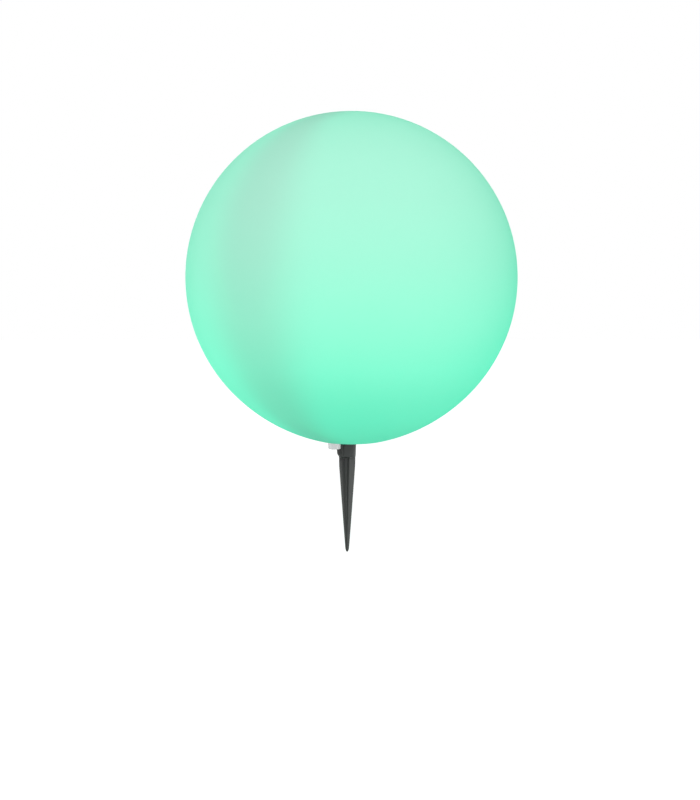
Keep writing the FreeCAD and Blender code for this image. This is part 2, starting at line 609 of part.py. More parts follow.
def spike_socket():
    """Cup for the spike's stem: tube with a retaining bead and keyway, lobed flange and roof."""
    flange_top = SOCKET_FLANGE_LEVEL + SOCKET_FLANGE_THICKNESS
    solids = [rod(SPIKE_AXIS, SOCKET_RADIUS, LUG_TOP, SOCKET_TOP)]
    solids.append(rod(SPIKE_AXIS, SOCKET_RADIUS + BEAD_HEIGHT, BEAD_LEVEL, BEAD_LEVEL + BEAD_WIDTH))
    solids.append(rod(SPIKE_AXIS, SOCKET_FLANGE_RADIUS, SOCKET_FLANGE_LEVEL, flange_top))
    solids += [rod(place, SOCKET_LOBE_RADIUS, SOCKET_FLANGE_LEVEL, flange_top)
               for place in socket_screw_places()]
    arm_length = 2.0 * SOCKET_SCREW_CIRCLE
    arm_width = 2.0 * SOCKET_LOBE_RADIUS
    solids.append(block(SPIKE_AXIS, arm_length, arm_width, SOCKET_FLANGE_LEVEL, flange_top))
    solids.append(block(SPIKE_AXIS, arm_width, arm_length, SOCKET_FLANGE_LEVEL, flange_top))
    pilots = [rod(place, LARGE_SHANK_RADIUS + FIT_CLEARANCE, SOCKET_FLANGE_LEVEL, flange_top)
              for place in socket_screw_places()]
    keyway_reach = KEY_RADIUS + RUNNING_GAP
    keyway = block(FreeCAD.Vector(0.5 * keyway_reach, 0, 0), keyway_reach, KEY_WIDTH + 2.0 * RUNNING_GAP,
                   LUG_TOP, SOCKET_BORE_TOP)
    bore = rod(SPIKE_AXIS, SOCKET_BORE_RADIUS, LUG_TOP, SOCKET_BORE_TOP)
    return joined(solids).cut(bore).cut(keyway).cut(group(pilots))


def socket_seal():
    """Flat ring under the socket's flange."""
    return pipe(SPIKE_AXIS, SOCKET_FLANGE_RADIUS, SOCKET_RADIUS + RUNNING_GAP, COVER_TOP, SOCKET_FLANGE_LEVEL)


def button_cap():
    """Push button: round cap with a softened edge, sealing groove, stop flange and stub."""
    foot = BASE_LEVEL - BUTTON_REACH
    flange_top = COVER_TOP + BUTTON_FLANGE_THICKNESS
    bend = BUTTON_EDGE_RADIUS
    middle = bend * (1.0 - DIAGONAL)
    edges = [line_edge((0, foot), (BUTTON_RADIUS - bend, foot))]
    edges.append(arc_edge((BUTTON_RADIUS - bend, foot), (BUTTON_RADIUS - middle, foot + middle),
                          (BUTTON_RADIUS, foot + bend)))
    edges.append(line_edge((BUTTON_RADIUS, foot + bend), (BUTTON_RADIUS, flange_top)))
    edges.append(line_edge((BUTTON_RADIUS, flange_top), (0, flange_top)))
    edges.append(line_edge((0, flange_top), (0, foot)))
    cap = turned(edges, BUTTON_AXIS)
    flange = rod(BUTTON_AXIS, BUTTON_FLANGE_RADIUS, COVER_TOP, flange_top)
    stub = rod(BUTTON_AXIS, BUTTON_STUB_RADIUS, flange_top, flange_top + SWITCH_STANDOFF)
    half_groove = O_RING_SECTION + FIT_CLEARANCE
    groove = pipe(BUTTON_AXIS, BUTTON_RADIUS + O_RING_GROOVE, BUTTON_RADIUS - O_RING_GROOVE - O_RING_SECTION,
                  O_RING_LEVEL - half_groove, O_RING_LEVEL + half_groove)
    return joined([cap, flange, stub]).cut(groove)


def button_ring():
    """O-ring in the button's groove, just clear of the hole's wall."""
    centre = BUTTON_RADIUS + BUTTON_SLIDE_GAP - PLUNGER_GAP - O_RING_SECTION
    return Part.makeTorus(centre, O_RING_SECTION, FreeCAD.Vector(BUTTON_X, BUTTON_Y, O_RING_LEVEL))


def switch_plunger():
    """The switch's own pin, which moves with the button."""
    low = COVER_TOP + BUTTON_FLANGE_THICKNESS + SWITCH_STANDOFF
    return rod(BUTTON_AXIS, PLUNGER_RADIUS, low, SWITCH_LEVEL + SWITCH_WALL)


def tact_switch():
    """Square switch body on the underside of the service board, hollow above its pin."""
    body = block(BUTTON_AXIS, SWITCH_SIZE, SWITCH_SIZE, SWITCH_LEVEL, SERVICE_BOARD_LEVEL)
    well = rod(BUTTON_AXIS, PLUNGER_RADIUS + PLUNGER_GAP, SWITCH_LEVEL, SERVICE_BOARD_LEVEL - SWITCH_WALL)
    return body.cut(well)


def port_plug():
    """Rubber plug over the charging port, with a tab to pull it by."""
    low = BASE_LEVEL - PLUG_FLANGE_THICKNESS
    flange = rod(PORT_AXIS, PLUG_FLANGE_RADIUS, low, BASE_LEVEL)
    body = rod(PORT_AXIS, PORT_RADIUS - PLUG_GAP, BASE_LEVEL, COVER_TOP)
    tab = rod(PORT_AXIS + FreeCAD.Vector(0, PLUG_FLANGE_RADIUS, 0), PLUG_TAB_RADIUS, low, BASE_LEVEL)
    return joined([flange, body, tab])


def usb_socket():
    """Upright charging socket under the service board, its mouth facing the port."""
    mouth = COVER_TOP + USB_MOUTH_GAP
    body = block(PORT_AXIS, USB_WIDTH, USB_DEPTH, mouth, SERVICE_BOARD_LEVEL)
    cavity = block(PORT_AXIS, USB_WIDTH - 2.0 * USB_WALL, USB_DEPTH - 2.0 * USB_WALL, mouth,
                   mouth + USB_CAVITY_DEPTH)
    tongue = block(PORT_AXIS, USB_TONGUE_WIDTH, USB_TONGUE_THICKNESS, mouth + USB_TONGUE_SETBACK,
                   mouth + USB_CAVITY_DEPTH)
    return joined([body.cut(cavity), tongue])


def column_notches(low, high):
    """Room round the housing's columns in a round plate."""
    return [rod(place, COLUMN_RADIUS + COLUMN_NOTCH_GAP, low, high) for place in column_places()]


def service_wire_slot(low, high):
    """Room for the upright wires at the housing's wall."""
    width = SERVICE_WIRE_COUNT * WIRE_PITCH + 2.0 * SLOT_CLEARANCE
    depth = HOUSING_BORE_RADIUS - SERVICE_WIRE_CIRCLE + WIRE_RADIUS + SLOT_CLEARANCE
    slot = block(FreeCAD.Vector(HOUSING_BORE_RADIUS - 0.5 * depth, 0, 0), depth, width, low, high)
    slot.rotate(SPIKE_AXIS, UP, SERVICE_WIRE_ANGLE)
    slot.translate(GLOBE_AXIS)
    return slot


def service_board():
    """Round board round the spike socket, for the switch and the charging socket."""
    top = SERVICE_BOARD_LEVEL + BOARD_THICKNESS
    board = rod(GLOBE_AXIS, SERVICE_BOARD_RADIUS, SERVICE_BOARD_LEVEL, top)
    holes = [rod(SPIKE_AXIS, SOCKET_RADIUS + SERVICE_BOARD_HOLE_GAP, SERVICE_BOARD_LEVEL, top)]
    holes += column_notches(SERVICE_BOARD_LEVEL, top)
    holes += [rod(place, SMALL_SHANK_RADIUS + SHANK_CLEARANCE, SERVICE_BOARD_LEVEL, top)
              for place in service_post_places()]
    return board.cut(group(holes))


def small_screws_down(places, seat):
    """Small screws driven downwards, heads on top of a board."""
    return group([screw(place, seat, SMALL_SHANK_RADIUS, SMALL_HEAD_RADIUS, SMALL_HEAD_HEIGHT,
                        SCREW_LENGTH - SMALL_HEAD_HEIGHT, True) for place in places])


def module_housing():
    """Can with inner columns for the screws, a ledge for the battery cradle and dome bosses."""
    wall = pipe(GLOBE_AXIS, HOUSING_RADIUS, HOUSING_BORE_RADIUS, HOUSING_LEVEL, HOUSING_TOP)
    columns = [rod(place, COLUMN_RADIUS, HOUSING_LEVEL, COLUMN_TOP) for place in column_places()]
    bosses = [rod(place, DOME_BOSS_RADIUS, HOUSING_TOP - DOME_BOSS_LENGTH, HOUSING_TOP)
              for place in dome_screw_places()]
    ledge_low = CRADLE_LEVEL - LEDGE_THICKNESS
    ledge = pipe(GLOBE_AXIS, HOUSING_BORE_RADIUS + 0.5 * HOUSING_WALL, HOUSING_BORE_RADIUS - LEDGE_WIDTH,
                 ledge_low, CRADLE_LEVEL)
    ledge = ledge.cut(service_wire_slot(ledge_low, CRADLE_LEVEL))
    pilots = [rod(place, LARGE_SHANK_RADIUS + FIT_CLEARANCE, HOUSING_LEVEL, CRADLE_LEVEL)
              for place in column_places()]
    pilots += [rod(place, SMALL_SHANK_RADIUS + FIT_CLEARANCE, COLUMN_TOP - SCREW_LENGTH, COLUMN_TOP)
               for place in column_places()]
    pilots += [rod(place, SMALL_SHANK_RADIUS + FIT_CLEARANCE, HOUSING_TOP - SCREW_LENGTH, HOUSING_TOP)
               for place in dome_screw_places()]
    return joined([wall, ledge] + columns + bosses).cut(group(pilots))


def housing_seal():
    """Flat ring between the housing's foot and the cover."""
    return pipe(GLOBE_AXIS, HOUSING_RADIUS, HOUSING_BORE_RADIUS, COVER_TOP, HOUSING_LEVEL)


def battery_cells():
    """Three round cells with their end nubs."""
    cells = []
    for place in cell_places():
        can = rod(place, CELL_RADIUS, CELL_LEVEL, CELL_TOP - CELL_NUB_HEIGHT)
        nub = rod(place, CELL_NUB_RADIUS, CELL_TOP - CELL_NUB_HEIGHT, CELL_TOP)
        cells.append(joined([can, nub]))
    return group(cells)


def battery_cradle():
    """Two end plates with a cup for each cell, joined by a middle post."""
    solids = [rod(GLOBE_AXIS, CRADLE_POST_RADIUS, CRADLE_LEVEL, CRADLE_TOP)]
    cup_bore = CELL_RADIUS + CELL_FIT
    upper_cup_level = UPPER_PLATE_LEVEL - CRADLE_CUP_HEIGHT
    for low, cup_low in ((CRADLE_LEVEL, STRIP_LEVEL), (UPPER_PLATE_LEVEL, upper_cup_level)):
        plate = rod(GLOBE_AXIS, CRADLE_RADIUS, low, low + CRADLE_PLATE)
        solids.append(plate.cut(group(column_notches(low, low + CRADLE_PLATE))))
        solids += [pipe(place, cup_bore + CRADLE_CUP_WALL, cup_bore, cup_low, cup_low + CRADLE_CUP_HEIGHT)
                   for place in cell_places()]
    body = joined(solids)
    lead_holes = [rod(place, WIRE_RADIUS + WIRE_HOLE_GAP, UPPER_PLATE_LEVEL, CRADLE_TOP)
                  for place in battery_wire_places()]
    strip_paths = [strip_arm(angle, STRIP_LEVEL, CELL_LEVEL) for angle in CELL_ANGLES]
    strip_paths += [strip_arm(angle, CELL_TOP, UPPER_PLATE_LEVEL) for angle in CELL_ANGLES]
    slot = service_wire_slot(CRADLE_LEVEL, CRADLE_TOP)
    return body.cut(group(lead_holes)).cut(slot).cut(joined(strip_paths))


def strip_arm(angle, low, high):
    """One arm of a nickel strip, from its hub out over a cell."""
    end = CELL_CIRCLE + STRIP_OVERHANG
    middle = FreeCAD.Vector(0.5 * (STRIP_START + end), 0, 0)
    arm = block(middle, end - STRIP_START, STRIP_WIDTH, low, high)
    arm.rotate(SPIKE_AXIS, UP, angle)
    arm.translate(GLOBE_AXIS)
    return arm


def nickel_strips():
    """A three-armed strip across the lower ends of the cells and one across the upper ends."""
    strips = []
    for low, high in ((STRIP_LEVEL, CELL_LEVEL), (CELL_TOP, UPPER_PLATE_LEVEL)):
        hub = rod(GLOBE_AXIS, CRADLE_POST_RADIUS + 0.5 * STRIP_WIDTH, low, high)
        star = joined([hub] + [strip_arm(angle, low, high) for angle in CELL_ANGLES])
        strips.append(star.cut(rod(GLOBE_AXIS, CRADLE_POST_RADIUS + FIT_CLEARANCE, low, high)))
    return group(strips)


def foam_pad():
    """Soft pad that keeps the cradle down on its ledge."""
    return rod(GLOBE_AXIS, FOAM_RADIUS, CRADLE_TOP, DRIVER_LEVEL)


def driver_board():
    """Round board with an ear on each column."""
    disc = rod(GLOBE_AXIS, DRIVER_RADIUS, DRIVER_LEVEL, DRIVER_TOP)
    ears = [rod(place, DRIVER_EAR_RADIUS, DRIVER_LEVEL, DRIVER_TOP) for place in column_places()]
    holes = [rod(place, SMALL_SHANK_RADIUS + SHANK_CLEARANCE, DRIVER_LEVEL, DRIVER_TOP)
             for place in column_places()]
    holes += [rod(place, WIRE_RADIUS + WIRE_HOLE_GAP, DRIVER_LEVEL, DRIVER_TOP)
              for place in battery_wire_places()]
    return joined([disc] + ears).cut(group(holes))


def driver_chips():
    """The controller and three power transistors."""
    top = DRIVER_TOP + CHIP_HEIGHT
    chips = [block(polar(GLOBE_AXIS, COMPONENT_CIRCLE, CHIP_ANGLE), CHIP_SIZE, CHIP_SIZE, DRIVER_TOP, top)]
    for i in range(TRANSISTOR_COUNT):
        place = GLOBE_AXIS + FreeCAD.Vector((i - 1) * TRANSISTOR_PITCH, TRANSISTOR_ROW, 0)
        chips.append(block(place, TRANSISTOR_WIDTH, TRANSISTOR_DEPTH, DRIVER_TOP, top))
    return group(chips)


def power_inductor():
    """Square coil former with a round core."""
    place = polar(GLOBE_AXIS, COMPONENT_CIRCLE, INDUCTOR_ANGLE)
    low = DRIVER_TOP + 0.5 * INDUCTOR_HEIGHT
    base = block(place, INDUCTOR_SIZE, INDUCTOR_SIZE, DRIVER_TOP, low)
    return joined([base, rod(place, INDUCTOR_CORE_RADIUS, low, DRIVER_TOP + INDUCTOR_HEIGHT)])


def capacitors():
    places = [polar(GLOBE_AXIS, COMPONENT_CIRCLE, angle) for angle in CAPACITOR_ANGLES]
    return group([rod(place, CAPACITOR_RADIUS, DRIVER_TOP, DRIVER_TOP + CAPACITOR_HEIGHT)
                  for place in places])


def board_connectors():
    """The plug for the service wires at the board's edge, and the one for the light at its middle."""
    top = DRIVER_TOP + CONNECTOR_HEIGHT
    edge = block(FreeCAD.Vector(SERVICE_CONNECTOR_CIRCLE, 0, 0), CONNECTOR_DEPTH, CONNECTOR_WIDTH,
                 DRIVER_TOP, top)
    edge.rotate(SPIKE_AXIS, UP, SERVICE_WIRE_ANGLE)
    edge.translate(GLOBE_AXIS)
    return group([edge, block(GLOBE_AXIS, CONNECTOR_WIDTH, CONNECTOR_WIDTH, DRIVER_TOP, top)])


def heat_plate():
    """Aluminium lid of the housing, which spreads the heat of the light board."""
    plate = rod(GLOBE_AXIS, HOUSING_RADIUS, HOUSING_TOP, PLATE_TOP)
    holes = [rod(GLOBE_AXIS, PLATE_HOLE_RADIUS, HOUSING_TOP, PLATE_TOP)]
    holes += [rod(place, SMALL_SHANK_RADIUS + SHANK_CLEARANCE, HOUSING_TOP, PLATE_TOP)
              for place in dome_screw_places()]
    holes += [rod(place, SMALL_SHANK_RADIUS + FIT_CLEARANCE, HOUSING_TOP, PLATE_TOP)
              for place in led_screw_places()]
    return plate.cut(group(holes))


def led_board():
    """Round light board with screw holes and holes for the four wires."""
    board = rod(GLOBE_AXIS, LED_BOARD_RADIUS, PLATE_TOP, LED_BOARD_TOP)
    holes = [rod(place, SMALL_SHANK_RADIUS + SHANK_CLEARANCE, PLATE_TOP, LED_BOARD_TOP)
             for place in led_screw_places()]
    holes += [rod(place, WIRE_RADIUS + FIT_CLEARANCE, PLATE_TOP, LED_BOARD_TOP)
              for place in led_wire_places()]
    return board.cut(group(holes))


def led_chips():
    """Two rings of square light chips."""
    places = ring_of(GLOBE_AXIS, LED_BOARD_RADIUS - LED_OUTER_INSET, LED_OUTER_COUNT)
    places += ring_of(GLOBE_AXIS, LED_BOARD_RADIUS - LED_INNER_INSET, LED_INNER_COUNT)
    return group([block(place, LED_SIZE, LED_SIZE, LED_BOARD_TOP, LED_BOARD_TOP + LED_HEIGHT)
                  for place in places])


def infrared_receiver():
    """Receiver with a round window, for a remote control."""
    place = polar(GLOBE_AXIS, RECEIVER_CIRCLE, RECEIVER_ANGLE)
    low = LED_BOARD_TOP + RECEIVER_HEIGHT
    body = block(place, RECEIVER_WIDTH, RECEIVER_DEPTH, LED_BOARD_TOP, low)
    window = Part.makeSphere(0.5 * RECEIVER_DEPTH, FreeCAD.Vector(place.x, place.y, low))
    return joined([body, window])


def led_screws():
    reach = PLATE_THICKNESS + BOARD_THICKNESS
    return group([screw(place, LED_BOARD_TOP, SMALL_SHANK_RADIUS, SMALL_HEAD_RADIUS, SMALL_HEAD_HEIGHT,
                        reach, True) for place in led_screw_places()])


def diffuser_dome():
    """Frosted dome over the light board, with a flat flange."""
    flange_top = PLATE_TOP + DOME_FLANGE_THICKNESS
    bore = DOME_RADIUS - DOME_WALL
    peak = PLATE_TOP + DOME_RISE
    edges = [line_edge((bore, PLATE_TOP), (HOUSING_RADIUS, PLATE_TOP))]
    edges.append(line_edge((HOUSING_RADIUS, PLATE_TOP), (HOUSING_RADIUS, flange_top)))
    edges.append(line_edge((HOUSING_RADIUS, flange_top), (DOME_RADIUS, flange_top)))
    edges.append(dome_arc(DOME_RADIUS, flange_top, peak, False))
    edges.append(line_edge((0, peak), (0, peak - DOME_WALL)))
    edges.append(dome_arc(bore, flange_top, peak - DOME_WALL, True))
    edges.append(line_edge((bore, flange_top), (bore, PLATE_TOP)))
    dome = turned(edges, GLOBE_AXIS)
    holes = [rod(place, SMALL_SHANK_RADIUS + SHANK_CLEARANCE, PLATE_TOP, flange_top)
             for place in dome_screw_places()]
    return dome.cut(group(holes))


def dome_arc(foot_radius, foot, peak, outward):
    """Arc of a shallow dome between its foot and its peak on the axis."""
    rise = peak - foot
    radius = (foot_radius ** 2 + rise ** 2) / (2.0 * rise)
    middle_r = 0.5 * foot_radius
    middle = (middle_r, peak - radius + sqrt(radius ** 2 - middle_r ** 2))
    ends = [(foot_radius, foot), (0, peak)]
    if outward:
        ends.reverse()
    return arc_edge(ends[0], middle, ends[1])


def battery_leads():
    """Straight wires from the two strips up to the driver board."""
    lower, upper = battery_wire_places()
    top = DRIVER_TOP + WIRE_TAIL
    return group([rod(lower, WIRE_RADIUS, CELL_LEVEL, top), rod(upper, WIRE_RADIUS, UPPER_PLATE_LEVEL, top)])


def service_leads():
    """Wires from the service board up the housing's wall and in to the driver board's plug."""
    foot = SERVICE_BOARD_LEVEL + BOARD_THICKNESS
    top = DRIVER_TOP + 0.5 * CONNECTOR_HEIGHT
    bend_start = top - WIRE_BEND
    inner = SERVICE_CONNECTOR_CIRCLE + 0.5 * CONNECTOR_DEPTH
    run = SERVICE_WIRE_CIRCLE
    bend_middle = (run - WIRE_BEND * (1.0 - DIAGONAL), bend_start + WIRE_BEND * DIAGONAL)
    path = Part.Wire([line_edge((run, foot), (run, bend_start)),
                      arc_edge((run, bend_start), bend_middle, (run - WIRE_BEND, top)),
                      line_edge((run - WIRE_BEND, top), (inner, top))])
    section = Part.Wire(Part.makeCircle(WIRE_RADIUS, FreeCAD.Vector(run, 0, foot), UP))
    wires = []
    for i in range(SERVICE_WIRE_COUNT):
        wire = path.makePipeShell([section], True, False)
        wire.translate(FreeCAD.Vector(0, (i - 0.5 * (SERVICE_WIRE_COUNT - 1)) * WIRE_PITCH, 0))
        wire.rotate(SPIKE_AXIS, UP, SERVICE_WIRE_ANGLE)
        wire.translate(GLOBE_AXIS)
        wires.append(wire)
    return group(wires)


def led_leads():
    """Four straight wires from the driver board's middle plug up through the light board."""
    low = DRIVER_TOP + CONNECTOR_HEIGHT
    return group([rod(place, WIRE_RADIUS, low, LED_BOARD_TOP + WIRE_TAIL) for place in led_wire_places()])


def dome_screws():
    return small_screws_down(dome_screw_places(), PLATE_TOP + DOME_FLANGE_THICKNESS)


def driver_screws():
    return small_screws_down(column_places(), DRIVER_TOP)


def service_screws():
    return small_screws_down(service_post_places(), SERVICE_BOARD_LEVEL + BOARD_THICKNESS)


def socket_screws():
    return large_screws(socket_screw_places())


def housing_screws():
    return large_screws(column_places())


SUBPARTS = (globe_shell, threaded_inserts, base_gasket, base_cover, cover_screws, ground_spike,
            locking_collar, spike_socket, socket_seal, socket_screws, button_cap, button_ring,
            switch_plunger, tact_switch, port_plug, usb_socket, service_board, service_screws,
            module_housing, housing_seal, housing_screws, battery_cells, battery_cradle, nickel_strips,
            foam_pad, driver_board, driver_chips, power_inductor, capacitors, board_connectors,
            driver_screws, heat_plate, led_board, led_chips, infrared_receiver, led_screws,
            diffuser_dome, dome_screws, battery_leads, service_leads, led_leads)

os.makedirs("parts", exist_ok=True)
for subpart in SUBPARTS:
    shape = subpart()
    shape.exportStep("parts/" + subpart.__name__ + ".step")
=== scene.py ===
from math import asin, cos, hypot, pi, radians, sin, sqrt

import bmesh
import bpy
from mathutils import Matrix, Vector


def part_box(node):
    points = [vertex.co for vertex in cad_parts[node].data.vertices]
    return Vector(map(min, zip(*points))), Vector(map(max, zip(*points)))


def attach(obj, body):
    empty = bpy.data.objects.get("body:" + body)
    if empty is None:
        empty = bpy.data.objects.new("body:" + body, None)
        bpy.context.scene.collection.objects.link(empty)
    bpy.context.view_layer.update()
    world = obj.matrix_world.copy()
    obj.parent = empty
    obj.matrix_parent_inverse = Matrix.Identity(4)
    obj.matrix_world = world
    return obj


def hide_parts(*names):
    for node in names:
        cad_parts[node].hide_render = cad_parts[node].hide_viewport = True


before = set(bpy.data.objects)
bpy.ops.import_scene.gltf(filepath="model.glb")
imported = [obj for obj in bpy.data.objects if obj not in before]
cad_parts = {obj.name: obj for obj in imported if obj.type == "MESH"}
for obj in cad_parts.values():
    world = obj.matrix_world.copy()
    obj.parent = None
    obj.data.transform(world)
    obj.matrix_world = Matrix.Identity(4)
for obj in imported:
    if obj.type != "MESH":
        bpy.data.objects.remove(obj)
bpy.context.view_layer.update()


# ---- Ground spike -------------------------------------------------------------------------
# One moulding of black polypropylene: four tapering fins on a cone core, a round shoulder and
# the hollow stem that goes up into the lamp, with two lugs for the collar and one key.

def linear(hex_colour):
    """Linear colour of an sRGB hex value."""
    channels = [int(hex_colour[i:i + 2], 16) / 255.0 for i in (1, 3, 5)]
    return [c / 12.92 if c <= 0.04045 else ((c + 0.055) / 1.055) ** 2.4 for c in channels] + [1.0]


def add(tree, kind, inputs=(), **settings):
    """Adds a node; an input takes a plain value, a socket or another node's first output."""
    node = tree.nodes.new(kind)
    for name, value in settings.items():
        setattr(node, name, value)
    for key, value in inputs.items() if isinstance(inputs, dict) else enumerate(inputs):
        if isinstance(value, bpy.types.Node):
            value = value.outputs[0]
        if isinstance(value, bpy.types.NodeSocket):
            tree.links.new(value, node.inputs[key])
        else:
            node.inputs[key].default_value = value
    return node


def surface(name, **sockets):
    """A material with one Principled shader, its sockets set by name, with _ for a space."""
    material = bpy.data.materials.new(name)
    material.use_nodes = True
    tree = material.node_tree
    shader = tree.nodes["Principled BSDF"]
    for key, value in sockets.items():
        shader.inputs[key.replace("_", " ")].default_value = value
    return material, tree, shader


FLOW_MARK, SHEEN_SPREAD = 0.018, 0.06


def moulded(name, colour, roughness, grain_mm, depth_mm, mottle=0.08, **sockets):
    """Material of a moulded or cast piece: faint flow marks and a fine grained skin."""
    material, tree, shader = surface(name, **sockets)
    place = add(tree, "ShaderNodeTexCoord").outputs["Object"]
    flow = add(tree, "ShaderNodeTexNoise", {
        "Vector": place, "Scale": 1.0 / FLOW_MARK, "Detail": 3.0})
    grain = add(tree, "ShaderNodeTexNoise", {
        "Vector": place, "Scale": 1000.0 / grain_mm, "Detail": 2.0})
    deep, pale = [[c * f for c in linear(colour)[:3]] + [1.0]
                  for f in (1.0 - mottle, 1.0 + mottle)]
    tone = add(tree, "ShaderNodeMix", {"Factor": flow.outputs["Fac"], 6: deep, 7: pale},
               data_type="RGBA")
    sheen = add(tree, "ShaderNodeMapRange", {
        "Value": grain.outputs["Fac"], "To Min": roughness - SHEEN_SPREAD,
        "To Max": roughness + SHEEN_SPREAD})
    skin = add(tree, "ShaderNodeBump", {
        "Height": grain.outputs["Fac"], "Strength": 1.0, "Distance": depth_mm / 1000.0})
    tree.links.new(tone.outputs[2], shader.inputs["Base Color"])
    tree.links.new(sheen.outputs["Result"], shader.inputs["Roughness"])
    tree.links.new(skin.outputs["Normal"], shader.inputs["Normal"])
    return material


# Polypropylene moulded in a spark-eroded tool: dark grey, satin, with a grain of about 0.3 mm
black_polypropylene = moulded("black_polypropylene", "#313332", 0.42, 0.35, 0.012)

FIN_HALF, FIN_TURN, SPIKE_EASING = 0.0012, radians(20.0), 0.0003
# Level, reach of the fins and radius of the core, from the shoulder down to the tip
SPIKE_LEVELS = ((-0.0012, 0.0103, 0.0046), (-0.006, 0.0103, 0.00446), (-0.012, 0.0101, 0.0043),
                (-0.045, 0.00757, 0.00336), (-0.078, 0.00503, 0.00243), (-0.111, 0.0025, 0.0015),
                (-0.1138, 0.00205, 0.0014), (-0.1156, 0.0014, 0.0010), (-0.1167, 0.0007, 0.0005))
STEM_PROFILE = ((0, -0.0012), (0.0100, -0.0012), (0.0103, -0.0009), (0.0103, -0.0003), (0.0099, 0),
                (0.0074, 0), (0.007, 0.0004), (0.007, 0.0365), (0.006, 0.0375), (0.0053, 0.0375),
                (0.005, 0.0372), (0.005, 0.002), (0, 0.002))
LUG_PROFILE = ((0.0045, 0.0031), (0.0086, 0.0031), (0.0086, 0.0062), (0.0045, 0.0062))
LUG_HALF_SPAN = radians(20.0)
KEY_ROOT, KEY_REACH, KEY_HALF, KEY_FOOT, KEY_TOP = 0.0045, 0.0077, 0.001, 0.0245, 0.0365


def fin_section(level, reach, core):
    """Outline of the four-finned section at one level, always with the same number of points."""
    root_x = max(sqrt(max(core ** 2 - FIN_HALF ** 2, 0.0)), FIN_HALF)
    root = hypot(root_x, FIN_HALF)
    half = asin(min(FIN_HALF / reach, sqrt(0.5)))
    root_turn = asin(FIN_HALF / root)
    if reach < root:
        root, root_turn = reach, pi / 4
    tip_x = max(reach * cos(half), root_x)
    points = []
    for quarter in range(4):
        turn = quarter * pi / 2 + FIN_TURN
        middle_x = 0.5 * (root_x + tip_x)
        local = [(root * cos(root_turn), -root * sin(root_turn)), (middle_x, -FIN_HALF)]
        local += [(reach * cos(half * k), reach * sin(half * k)) for k in (-1, -0.4, 0.4, 1)]
        local += [(middle_x, FIN_HALF), (root * cos(root_turn), root * sin(root_turn))]
        if reach < FIN_HALF * sqrt(2):
            local = [(reach * cos(pi / 4 * k), reach * sin(pi / 4 * k)) for k in
                     (-1, -0.7, -0.45, -0.15, 0.15, 0.45, 0.7, 1)]
        span = pi / 2 - 2 * root_turn
        local += [(root * cos(root_turn + span * k / 3), root * sin(root_turn + span * k / 3))
                  for k in (1, 2)]
        points += [Vector((x * cos(turn) - y * sin(turn), x * sin(turn) + y * cos(turn), level))
                   for x, y in local]
    return points


def skinned(loops, closed_ends=True):
    """A bmesh skinned over loops with equal numbers of points."""
    form = bmesh.new()
    rings = [[form.verts.new(p) for p in loop] for loop in loops]
    for low, high in zip(rings, rings[1:]):
        for i in range(len(low)):
            j = (i + 1) % len(low)
            form.faces.new((low[i], low[j], high[j], high[i]))
    if closed_ends:
        form.faces.new(list(reversed(rings[0])))
        form.faces.new(rings[-1])
    return form


def turned(form, profile, segments=96, centre=(0.0, 0.0), start=0.0, sweep=2 * pi):
    """Adds a piece turned about the vertical through centre to a bmesh, from (r, z) points."""
    steps = segments if sweep >= 2 * pi else segments + 1
    rings = []
    for i in range(steps):
        a = start + sweep * i / segments
        rings.append([form.verts.new((centre[0] + r * cos(a), centre[1] + r * sin(a), z))
                      for r, z in profile])
    count = len(profile)
    for i in range(segments):
        one, two = rings[i], rings[(i + 1) % steps]
        for k in range(count - 1):
            form.faces.new((one[k], two[k], two[k + 1], one[k + 1]))
        if sweep < 2 * pi:
            form.faces.new((one[count - 1], two[count - 1], two[0], one[0]))
    if sweep < 2 * pi:
        form.faces.new(list(reversed(rings[0])))
        form.faces.new(rings[-1])


CREASE = radians(35.0)


def kept(form, name, material, body, replaced, bevel=0.0):
    """Makes a bmesh into a finished piece: merged, facing out, edges eased, shaded, on its body."""
    bmesh.ops.remove_doubles(form, verts=form.verts, dist=1e-6)
    bmesh.ops.dissolve_degenerate(form, edges=form.edges, dist=1e-7)
    bmesh.ops.recalc_face_normals(form, faces=form.faces)
    mesh = bpy.data.meshes.new(name)
    form.to_mesh(mesh)
    form.free()
    mesh.materials.append(material)
    piece = bpy.data.objects.new(name, mesh)
    bpy.context.scene.collection.objects.link(piece)
    if bevel:
        eased = piece.modifiers.new("eased_edges", "BEVEL")
        eased.width = bevel
        eased.segments = 2
        eased.limit_method = "ANGLE"
        eased.angle_limit = CREASE
    mesh.shade_smooth()
    mesh.set_sharp_from_angle(angle=CREASE)
    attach(piece, body)
    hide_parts(*replaced)


spike = skinned([fin_section(*level) for level in SPIKE_LEVELS])
turned(spike, STEM_PROFILE)
for side in (0.0, pi):
    turned(spike, LUG_PROFILE, 12, start=side - LUG_HALF_SPAN, sweep=2 * LUG_HALF_SPAN)
key_corners = ((-KEY_HALF, KEY_FOOT), (-KEY_HALF, KEY_TOP),
               (KEY_HALF, KEY_TOP), (KEY_HALF, KEY_FOOT))
key = skinned([[Vector((x, y, z)) for y, z in key_corners] for x in (KEY_ROOT, KEY_REACH)])
key_mesh = bpy.data.meshes.new("key")
key.to_mesh(key_mesh)
spike.from_mesh(key_mesh)
kept(spike, "spike_moulding", black_polypropylene, "spike", ["ground_spike"],
     bevel=SPIKE_EASING)


# ---- Locking collar -------------------------------------------------------------------------
# Tapered ring of the same black polypropylene, moulded in one piece with a ribbed thumb grip. It
# snaps over a bead on the socket and turns under the spike's lugs to lock the lamp on its spike.

